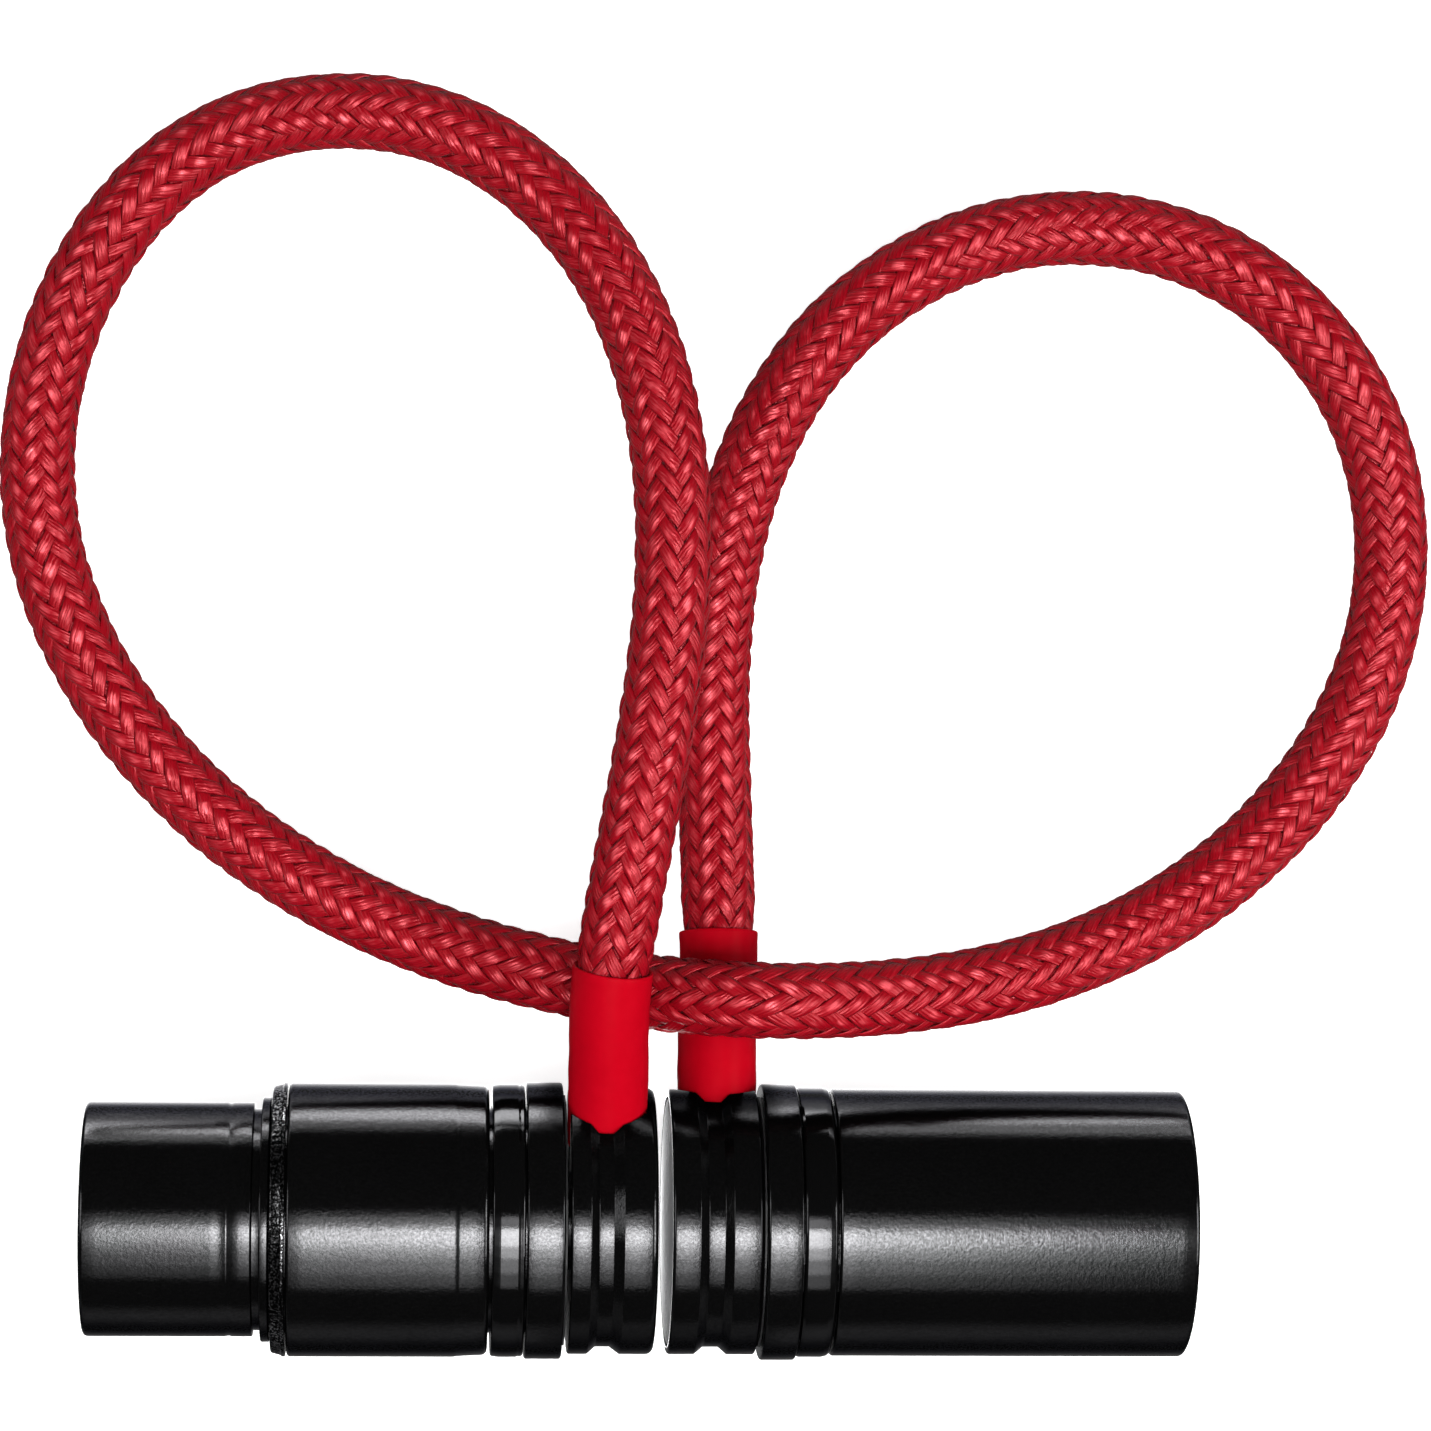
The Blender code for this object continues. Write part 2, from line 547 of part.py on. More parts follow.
# Arc lengths along the path; those near the plug are mirrored from LENGTH at the socket.
MALE_SHRINK_RIM = arc_where(-8.2, -19.95, 0.0, 0.2)
FEMALE_SHRINK_RIM = arc_where(1.0, -17.5, 0.8, 1.0)
FLEX_JOINTS = [arc_where(-7.2, -13.0, 0.0, 0.2), arc_where(-54.9, 23.3, 0.2, 0.5),
               arc_where(57.0, 15.5, 0.5, 0.85), arc_where(0.8, -10.5, 0.8, 1.0)]
BRAID_START = 7.0 - EXIT_DISTANCES[0]           # the braid ends 7 mm from the connector's axis
SHRINK_START = BRAID_START + 0.3
CORE_START = 0.6
JACKET_START = 4.6                              # the core is stripped up to here
JACKET_STEP = 0.01                              # run between the thin and full rings
CRIMP_START, CRIMP_END = 4.95, 6.1


# ---------------------------------------------------------------- cable
def stations(s0, s1, sag=0.12, shortest=2.6, longest=8.0):
    """Arc lengths of rings between s0 and s1, closer together where the path bends."""
    result, s = [s0], s0
    while True:
        bend = np.interp(s + 2.0, ARC, CURVATURE)
        step = min(longest, max(shortest, sqrt(8 * sag / max(bend, 1e-4))))
        if s + 1.45 * step >= s1:
            break
        s += step
        result.append(s)
    return result + [s1]


def cup_ring(bm, s0, radius, sides):
    """A ring of the given radius on the cup sphere round s0, and its distance from s0."""
    point, along, side, up = frame_at(s0)
    depth = sqrt(CUP_R ** 2 - radius ** 2)
    return ring(bm, point + along * depth, side, up, radius, sides), depth


def cable_rings(bm, s0, s1, radius, sides, cup=False, ball=False):
    """Rings swept along the path. The radius is a number or a function of arc length.

    A cup starts the surface on the cup sphere round s0; a ball domes it past s1.
    """
    radius_at = radius if callable(radius) else lambda s: radius
    rings = []
    places = stations(s0, s1)
    if cup:
        rim, depth = cup_ring(bm, s0, radius_at(s0), sides)
        rings.append(rim)
        places = [s for s in places if s > s0 + depth + CUP_MARGIN]
    for s in places:
        point, _, side, up = frame_at(s)
        rings.append(ring(bm, point, side, up, radius_at(s), sides))
    if ball:
        point, along, side, up = frame_at(s1)
        r = radius_at(s1)
        for k in range(1, BALL_STEPS):
            a = pi / 2 * k / BALL_STEPS
            rings.append(ring(bm, point + along * r * sin(a), side, up, r * cos(a), sides))
        rings.append([vertex(bm, point + along * r)])
    return rings


def cable_tube(name, s0, s1, outer_r, inner_r, sides, finish, cup=False, ball=False):
    bm = bmesh.new()
    outer = cable_rings(bm, s0, s1, outer_r, sides, cup, ball)
    inner = cable_rings(bm, s0, s1, inner_r, sides, cup, ball)
    if ball:
        skin(bm, outer[::-1] + inner)
    else:
        skin(bm, outer + inner[::-1], loop=True)
    finish_mesh(name, bm, finish)


def cable_core(name, s0, s1, cup, ball):
    """The solid core. An end without a cup or ball is in a cap, stripped to a thin bundle."""
    bm = bmesh.new()
    full_start, full_end = s0, s1
    if cup:
        point, along, _, _ = frame_at(s0)
        rings = [[vertex(bm, point + along * CUP_R)],
                 cup_ring(bm, s0, CORE_R / 2, CORE_SIDES)[0]]
    else:
        full_start = JACKET_START
        rings = [[vertex(bm, frame_at(s0)[0])]]
        rings += cable_rings(bm, s0, full_start - JACKET_STEP, BUNDLE_R, CORE_SIDES)
    if not ball:
        full_end = LENGTH - JACKET_START
    rings += cable_rings(bm, full_start, full_end, CORE_R, CORE_SIDES, cup, ball)
    if not ball:
        rings += cable_rings(bm, full_end + JACKET_STEP, s1, BUNDLE_R, CORE_SIDES)
        rings.append([vertex(bm, frame_at(s1)[0])])
    skin(bm, rings)
    finish_mesh("cable_core_" + name, bm, JACKET)


def squeezed(loose, tight):
    """Radius as a function of arc length, tight inside the heat-shrinks."""
    def radius_at(s):
        inside = (s < MALE_SHRINK_RIM + TIGHT_MARGIN or s > FEMALE_SHRINK_RIM - TIGHT_MARGIN)
        return tight if inside else loose
    return radius_at


def cable_fittings():
    """Heat-shrink and crimp ring at each end."""
    for name, s0, s1 in (("male", SHRINK_START, MALE_SHRINK_RIM),
                         ("female", FEMALE_SHRINK_RIM, LENGTH - SHRINK_START)):
        cable_tube(name + "_heat_shrink", s0, s1, SHRINK_R, SHRINK_IN_R, SHRINK_SIDES, RED_SHRINK)
    for name, s0, s1 in (("male", CRIMP_START, CRIMP_END),
                         ("female", LENGTH - CRIMP_END, LENGTH - CRIMP_START)):
        cable_tube(name + "_crimp_ring", s0, s1, CRIMP_R, CRIMP_IN_R, BRAID_SIDES, BRASS)


def cable():
    """Five stretches of braid and core, each ball end sitting in the next one's cup."""
    cable_fittings()
    names = ["male_tail", "left_loop", "middle", "right_loop", "female_tail"]
    braid_ends = [BRAID_START, *FLEX_JOINTS, LENGTH - BRAID_START]
    core_ends = [CORE_START, *FLEX_JOINTS, LENGTH - CORE_START]
    outer_r = squeezed(BRAID_R, BRAID_TIGHT_R)
    inner_r = squeezed(BRAID_IN_R, BRAID_TIGHT_IN_R)
    for i, name in enumerate(names):
        cup, ball = i > 0, i < len(names) - 1
        cable_tube("cable_braid_" + name, braid_ends[i], braid_ends[i + 1], outer_r, inner_r,
                   BRAID_SIDES, RED_BRAID, cup, ball)
        cable_core(name, core_ends[i], core_ends[i + 1], cup, ball)


male_plug()
female_socket()
cable()
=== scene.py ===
"""Looks of a short braided audio lead with two low-profile right-angle 3-pin connectors.

The lead lies on a floor near z = 0. Both connectors lie along X near y = -41 mm: the male one
on the -X side, its nose towards -X, and the female one on the +X side, its socket towards +X.
The cable leaves each rear cap towards +Y and makes one loop on each side.
Lengths are in millimetres and are scaled by MM where they enter Blender.
"""

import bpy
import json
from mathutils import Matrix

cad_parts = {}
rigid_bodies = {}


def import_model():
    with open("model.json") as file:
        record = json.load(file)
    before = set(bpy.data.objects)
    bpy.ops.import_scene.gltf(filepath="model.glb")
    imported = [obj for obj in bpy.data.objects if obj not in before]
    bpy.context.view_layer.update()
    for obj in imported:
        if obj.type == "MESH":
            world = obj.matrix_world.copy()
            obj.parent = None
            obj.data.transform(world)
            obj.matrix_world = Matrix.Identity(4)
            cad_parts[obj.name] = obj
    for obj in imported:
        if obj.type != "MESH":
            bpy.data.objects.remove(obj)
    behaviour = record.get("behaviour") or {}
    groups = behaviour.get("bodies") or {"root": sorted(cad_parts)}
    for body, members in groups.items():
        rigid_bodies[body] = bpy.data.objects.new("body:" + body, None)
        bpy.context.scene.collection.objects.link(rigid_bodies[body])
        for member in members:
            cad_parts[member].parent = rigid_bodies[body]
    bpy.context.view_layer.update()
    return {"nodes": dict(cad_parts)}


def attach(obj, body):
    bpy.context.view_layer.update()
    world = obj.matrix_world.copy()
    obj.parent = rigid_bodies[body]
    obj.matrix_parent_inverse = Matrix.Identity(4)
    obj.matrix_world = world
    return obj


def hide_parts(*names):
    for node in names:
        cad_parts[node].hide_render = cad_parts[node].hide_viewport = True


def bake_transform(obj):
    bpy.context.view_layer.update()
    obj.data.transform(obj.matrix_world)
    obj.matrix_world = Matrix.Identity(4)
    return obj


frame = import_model()

import json
import bpy
import bmesh
import numpy as np
from math import cos, pi, radians, sin
from mathutils import Matrix, Vector

MM = 0.001
NODES = frame["nodes"]

# ---------------------------------------------------------------- sizes shared with the CAD
ORIGIN_X, ORIGIN_Y = 0.95, -0.14        # the frame's origin, in the figures used for x and y below
AXIS_Z = 11.2                           # height of both connectors' axes
MALE_Y, FEMALE_Y = -40.95, -41.0        # y of each connector's axis
LATCH_ANGLE = -130.0                    # degrees about X, from +Y towards +Z
NOSE_R, NOSE_BORE_R, SPIGOT_R = 9.45, 8.2, 9.1
MALE_BARREL_R, COLLAR_R, MALE_CAP_R = 11.05, 11.2, 10.8
MALE_BORE_R = 9.3                       # inside of the male rings and barrel
FEMALE_CAP_R, FEMALE_BARREL_R, SOCKET_R = 10.75, 10.85, 9.75
CAP_GROOVE = 0.60                       # depth of the groove round each rear cap
CAP_BORE_R, CAP_MOUTH_R = 9.6, 4.3      # hollow of each cap, and its hole towards the collar
TUBE_R, TUBE_BORE_R = 4.0, 3.2          # the collars' short tubes
MALE_END_X, FEMALE_END_X = -4.37, -3.23  # closed ends of the caps
INSERT_R = 7.95
PIN_CIRCLE_R, PIN3_R, PIN_R = 4.4, 4.15, 1.2
CONTACT_R = 1.62
PORT_R = 3.42                           # the cable's hole in each cap
MALE_EXIT_X, MALE_EXIT_TILT = -8.3, 22.0
FEMALE_EXIT_X, FEMALE_EXIT_TILT = 0.85, -7.0
EXIT_STEPS = (0.6, 4.0, 7.0, 10.0, 13.5)  # distances from the axis of the cable's first points
SHRINK_R, SHRINK_IN_R = 3.24, 2.95


# ---------------------------------------------------------------- the cable's path
# Stations (x, y, z) from the male connector to the female one.
LEFT_RISE = [(-8.3, -22.0, 18.7), (-7.5, -15.5, 19.8), (-4.5, 2.5, 19.6), (-4.0, 20.5, 18.0)]
LEFT_LOOP = [(-9.8, 37.4, 15.5), (-23.2, 47.9, 13.0), (-40.9, 46.4, 11.0), (-52.7, 32.3, 9.0),
             (-54.5, 14.1, 7.5), (-46.6, -2.0, 7.0), (-33.0, -13.5, 8.0)]
CROSSING = [(-16.3, -20.2, 9.4), (-8.4, -21.8, 11.1), (0.6, -22.5, 15.9), (4.5, -22.6, 17.0),
            (10.6, -22.6, 15.6), (29.3, -19.5, 11.0)]
RIGHT_LOOP = [(45.6, -9.7, 8.5), (55.8, 6.5, 6.8), (55.0, 24.9, 6.0), (43.3, 38.0, 6.0),
              (25.1, 40.5, 6.6), (9.1, 30.9, 7.0)]
RIGHT_FALL = [(1.4, 13.8, 6.3), (0.6, -5.0, 6.2), (1.0, -17.5, 7.8), (0.95, -22.5, 8.6)]


def exit_points(x, y, tilt):
    """Stations straight out of a connector's port."""
    return [(x, y + d * cos(radians(tilt)), AXIS_Z + d * sin(radians(tilt))) for d in EXIT_STEPS]


def chord_lengths(points):
    """Distance from the first point to each point, measured along the chords."""
    return np.r_[0.0, np.cumsum(np.linalg.norm(np.diff(points, axis=0), axis=1))]


def natural_spline(points, per_span=60):
    """A fine polyline along the natural cubic spline through the points."""
    span = np.diff(chord_lengths(points))
    count = len(points)
    system = np.zeros((count, count))
    target = np.zeros((count, 3))
    system[0, 0] = system[-1, -1] = 1.0
    for i in range(1, count - 1):
        system[i, i - 1:i + 2] = span[i - 1], 2 * (span[i - 1] + span[i]), span[i]
        target[i] = 6 * ((points[i + 1] - points[i]) / span[i]
                         - (points[i] - points[i - 1]) / span[i - 1])
    bend = np.linalg.solve(system, target)      # second derivative at each point
    line = []
    for i in range(count - 1):
        length = span[i]
        for k in range(per_span):
            done = length * k / per_span
            left = length - done
            line.append(bend[i] * left ** 3 / (6 * length)
                        + bend[i + 1] * done ** 3 / (6 * length)
                        + (points[i] / length - bend[i] * length / 6) * left
                        + (points[i + 1] / length - bend[i + 1] * length / 6) * done)
    line.append(points[-1])
    return np.array(line)


def transported(tangents):
    """A side vector at each tangent, carried along the path without twist."""
    side = np.zeros_like(tangents)
    side[0] = np.cross(tangents[0], (1.0, 0.0, 0.0))
    side[0] /= np.linalg.norm(side[0])
    for i in range(1, len(tangents)):
        turned = side[i - 1] - tangents[i] * (side[i - 1] @ tangents[i])
        side[i] = turned / np.linalg.norm(turned)
    return side


STATIONS = (exit_points(MALE_EXIT_X, MALE_Y, MALE_EXIT_TILT)
            + LEFT_RISE + LEFT_LOOP + CROSSING + RIGHT_LOOP + RIGHT_FALL
            + exit_points(FEMALE_EXIT_X, FEMALE_Y, FEMALE_EXIT_TILT)[::-1])
PATH = natural_spline(np.array(STATIONS) - np.array([ORIGIN_X, ORIGIN_Y, 0.0]))
ARC = chord_lengths(PATH)
LENGTH = ARC[-1]
TANGENT = np.gradient(PATH, ARC, axis=0)
TANGENT /= np.linalg.norm(TANGENT, axis=1)[:, None]
SIDE = transported(TANGENT)


def sample(arc):
    """Point, tangent and the two side vectors at each arc length."""
    point, tangent, side = (
        np.stack([np.interp(arc, ARC, table[:, k]) for k in range(3)], -1)
        for table in (PATH, TANGENT, SIDE))
    tangent /= np.linalg.norm(tangent, axis=-1, keepdims=True)
    side -= tangent * np.sum(side * tangent, -1, keepdims=True)
    side /= np.linalg.norm(side, axis=-1, keepdims=True)
    return point, tangent, side, np.cross(tangent, side)


def around_cable(arc, angle, radius):
    """Points about the cable, from grids of arc length, angle and radius."""
    grids = np.broadcast_arrays(arc, angle, radius)
    arc, angle, radius = (grid.ravel()[:, None] for grid in grids)
    point, _, side, other = sample(arc[:, 0])
    return point + radius * (side * np.cos(angle) + other * np.sin(angle))


def arc_where(x, y, low, high):
    """Arc length nearest (x, y) in plan, between two fractions of the cable's length."""
    near = np.flatnonzero((ARC >= low * LENGTH) & (ARC <= high * LENGTH))
    gap = np.hypot(PATH[near, 0] - (x - ORIGIN_X), PATH[near, 1] - (y - ORIGIN_Y))
    return ARC[near[gap.argmin()]]


# Arc lengths of the shrink tubes' rims, and of the cable's ends inside the caps.
MALE_RIM = arc_where(-8.2, -19.95, 0.0, 0.2)
FEMALE_RIM = arc_where(1.0, -17.5, 0.8, 1.0)
MALE_INSIDE = EXIT_STEPS[2] - EXIT_STEPS[0]
FEMALE_INSIDE = LENGTH - MALE_INSIDE


# ---------------------------------------------------------------- mesh helpers
def new_object(name, me, material=None, at=(0, 0, 0)):
    ob = bpy.data.objects.new(name, me)
    ob.location = Vector(at)
    bpy.context.scene.collection.objects.link(ob)
    if material is not None:
        me.materials.append(material)
    return ob


def on_axis(y):
    """Location in metres of an object whose origin is on a connector's axis."""
    return 0, (y - ORIGIN_Y) * MM, AXIS_Z * MM


def mesh_from(bm, name):
    """A mesh from a finished bmesh, its faces turned outward."""
    bmesh.ops.recalc_face_normals(bm, faces=bm.faces)
    me = bpy.data.meshes.new(name)
    bm.to_mesh(me)
    bm.free()
    return me


def shade(me, sharp=32.0):
    me.shade_smooth()
    me.set_sharp_from_angle(angle=radians(sharp))


def applied(ob):
    """The object's mesh with its modifiers applied. The modifiers go."""
    bpy.context.view_layer.update()
    depsgraph = bpy.context.evaluated_depsgraph_get()
    me = bpy.data.meshes.new_from_object(ob.evaluated_get(depsgraph), depsgraph=depsgraph)
    ob.modifiers.clear()
    return me


def tube_quads(rings, sides, closed=False):
    """Quads between successive rings of points, and from the last to the first if closed."""
    ring = np.arange(rings if closed else rings - 1)[:, None] * sides
    next_ring = (ring + sides) % (rings * sides)
    corner = np.arange(sides)[None, :]
    next_corner = (corner + 1) % sides
    return np.stack([ring + corner, ring + next_corner,
                     next_ring + next_corner, next_ring + corner], -1).reshape(-1, 4)


def tube_caps(rings, sides):
    """The two end faces of an open tube."""
    return [np.arange(sides)[::-1], np.arange(sides) + (rings - 1) * sides]


def edge_numbers(ends, count):
    """One number for each pair of vertex indices, whichever comes first."""
    ends = np.sort(ends, axis=1).astype(np.int64)
    return ends[:, 0] * count + ends[:, 1]


def raw_mesh(name, points, quads, caps, uv, attributes):
    """A smooth mesh from arrays: points, quads, and n-gon caps whose edges are sharp."""
    me = bpy.data.meshes.new(name)
    me.vertices.add(len(points))
    me.vertices.foreach_set("co", (np.asarray(points, np.float32) * MM).ravel())
    loops = np.concatenate([quads.ravel(), *caps]).astype(np.int32)
    sizes = np.array([4] * len(quads) + [len(cap) for cap in caps], np.int32)
    starts = np.concatenate([[0], np.cumsum(sizes)[:-1]]).astype(np.int32)
    me.loops.add(len(loops))
    me.loops.foreach_set("vertex_index", loops)
    me.polygons.add(len(sizes))
    me.polygons.foreach_set("loop_start", starts)
    me.polygons.foreach_set("loop_total", sizes)
    me.update(calc_edges=True)
    me.polygons.foreach_set("use_smooth", np.ones(len(sizes), bool))
    layer = me.uv_layers.new(name="UVMap")
    layer.data.foreach_set("uv", np.asarray(uv, np.float32)[loops].ravel())
    for key, values in attributes.items():
        attribute = me.attributes.new(key, "FLOAT", "POINT")
        attribute.data.foreach_set("value", np.asarray(values, np.float32))
    if caps:
        ends = np.empty(len(me.edges) * 2, np.int32)
        me.edges.foreach_get("vertices", ends)
        rims = np.concatenate([np.stack([cap, np.roll(cap, -1)], -1) for cap in caps])
        sharp = np.isin(edge_numbers(ends.reshape(-1, 2), len(points)),
                        edge_numbers(rims, len(points)))
        attribute = me.attributes.new("sharp_edge", "BOOLEAN", "EDGE")
        attribute.data.foreach_set("value", sharp)
    me.update()
    me.validate()
    # turn the faces round if the body came out inside out
    bm = bmesh.new()
    bm.from_mesh(me)
    if bm.calc_volume(signed=True) < 0:
        bmesh.ops.reverse_faces(bm, faces=bm.faces)
        bm.to_mesh(me)
    bm.free()
    return me


def soften(outline, per_right_angle=4):
    """Rounds each corner of a closed (x, height, radius) outline, less where edges are short."""
    corners = [np.array(point[:2], float) for point in outline]
    rounded = []
    for i, (_, _, radius) in enumerate(outline):
        before, corner, after = corners[i - 1], corners[i], corners[(i + 1) % len(corners)]
        if radius <= 0:
            rounded.append(tuple(corner))
            continue
        length_in = np.linalg.norm(before - corner)
        length_out = np.linalg.norm(after - corner)
        back, ahead = (before - corner) / length_in, (after - corner) / length_out
        turn = np.arccos(np.clip(-back @ ahead, -1, 1))
        if turn < 0.06:
            rounded.append(tuple(corner))
            continue
        # the arc is a rational quadratic through the corner's two tangent points
        reach = min(radius * np.tan(turn / 2), 0.45 * length_in, 0.45 * length_out)
        first, last = corner + back * reach, corner + ahead * reach
        weight = cos(turn / 2)
        steps = max(2, int(round(per_right_angle * turn / (pi / 2))) + 1)
        for j in range(steps + 1):
            t = j / steps
            w0, w1, w2 = (1 - t) ** 2, 2 * weight * t * (1 - t), t ** 2
            rounded.append(tuple((w0 * first + w1 * corner + w2 * last) / (w0 + w1 + w2)))
    return rounded


def spread(outline, longest, closed):
    """Adds points along long straight edges, so that the faces shade evenly."""
    points = []
    count = len(outline)
    for i in range(count if closed else count - 1):
        start, end = np.array(outline[i]), np.array(outline[(i + 1) % count])
        pieces = max(1, int(np.ceil(np.linalg.norm(end - start) / longest)))
        points += [tuple(start + (end - start) * j / pieces) for j in range(pieces)]
    if not closed:
        points.append(outline[-1])
    return points


def lathe(name, outline, y, material, segments=144, centre=(0.0, 0.0), dent=None, longest=1.2):
    """A turned body from (x, radius, corner radius). Its origin is on the connector's axis.

    An outline that starts at radius 0 is open and ends on the axis; any other is closed.
    centre is the (y, z) of the body's own axis. dent(x, radius, angle) may move the radius.
    """
    closed = outline[0][1] > 1e-9
    bm = bmesh.new()
    rings = []
    for x, radius in spread(soften(outline), longest, closed):
        if radius <= 1e-9:
            rings.append([bm.verts.new(Vector((x - ORIGIN_X, *centre)) * MM)])
            continue
        ring = []
        for k in range(segments):
            angle = 2 * pi * k / segments
            r = dent(x, radius, angle) if dent else radius
            place_mm = (x - ORIGIN_X, centre[0] + r * sin(angle), centre[1] - r * cos(angle))
            ring.append(bm.verts.new(Vector(place_mm) * MM))
        rings.append(ring)
    pairs = list(zip(rings, rings[1:])) + ([(rings[-1], rings[0])] if closed else [])
    for ring, following in pairs:
        for i in range(segments):
            j = (i + 1) % segments
            if len(ring) == 1:
                bm.faces.new((ring[0], following[j], following[i]))
            elif len(following) == 1:
                bm.faces.new((ring[i], ring[j], following[0]))
            else:
                bm.faces.new((ring[i], ring[j], following[j], following[i]))
    me = mesh_from(bm, name)
    shade(me)
    return new_object(name, me, material, on_axis(y))


def radial(angle):
    """Unit vector across X, at an angle in degrees from +Y towards +Z."""
    return Vector((0.0, cos(radians(angle)), sin(radians(angle))))


LATCH_UP, LATCH_SIDE = radial(LATCH_ANGLE), radial(LATCH_ANGLE + 90.0)


def cutter(points, sides, y):
    """A prism whose points are one end ring and then the other."""
    faces = [list(range(sides))[::-1], list(range(sides, 2 * sides))]
    faces += [[i, (i + 1) % sides, sides + (i + 1) % sides, sides + i] for i in range(sides)]
    me = bpy.data.meshes.new("cutter")
    me.from_pydata([tuple(point * MM) for point in points], [], faces)
    bm = bmesh.new()
    bm.from_mesh(me)
    bmesh.ops.recalc_face_normals(bm, faces=bm.faces)
    bm.to_mesh(me)
    bm.free()
    return new_object("cutter", me, at=on_axis(y))


def slot_cutter(x0, x1, heights, half_width, y, corner):
    """A rounded-rectangle prism along the latch's radial direction."""
    steps = 5
    outline = []
    for x, across, start in ((x1 - corner, half_width - corner, 0),
                             (x0 + corner, half_width - corner, 90),
                             (x0 + corner, -half_width + corner, 180),
                             (x1 - corner, -half_width + corner, 270)):
        for k in range(steps + 1):
            angle = radians(start + 90.0 * k / steps)
            outline.append((x + corner * cos(angle), across + corner * sin(angle)))
    points = [Vector((x - ORIGIN_X, 0, 0)) + LATCH_UP * height + LATCH_SIDE * across
              for height in heights for x, across in outline]
    return cutter(points, len(outline), y)


def round_cutter(start, end, start_r, end_r, y, segments=72):
    """A cylinder or cone between two points given from the connector's axis."""
    along = (end - start).normalized()
    across = along.orthogonal().normalized()
    other = along.cross(across)
    points = []
    for centre, radius in ((start, start_r), (end, end_r)):
        for k in range(segments):
            angle = 2 * pi * k / segments
            points.append(centre + across * radius * cos(angle) + other * radius * sin(angle)
                          - Vector((ORIGIN_X, 0, 0)))
    return cutter(points, segments, y)


def boolean(ob, cutters, operation="DIFFERENCE"):
    """Cuts the cutters out of the object, or joins them to it, and removes them."""
    for tool in cutters:
        modifier = ob.modifiers.new("cut", "BOOLEAN")
        modifier.operation, modifier.solver, modifier.object = operation, "EXACT", tool
    me = applied(ob)
    old = ob.data
    material = old.materials[0]
    ob.data = me
    bpy.data.meshes.remove(old)
    me.materials.clear()
    me.materials.append(material)
    me.polygons.foreach_set("material_index", np.zeros(len(me.polygons), np.int32))
    for tool in cutters:
        bpy.data.objects.remove(tool, do_unlink=True)
    bm = bmesh.new()
    bm.from_mesh(me)
    bmesh.ops.remove_doubles(bm, verts=bm.verts, dist=1e-6)
    bmesh.ops.dissolve_degenerate(bm, edges=bm.edges, dist=1e-6)
    bm.to_mesh(me)
    bm.free()
    shade(me)


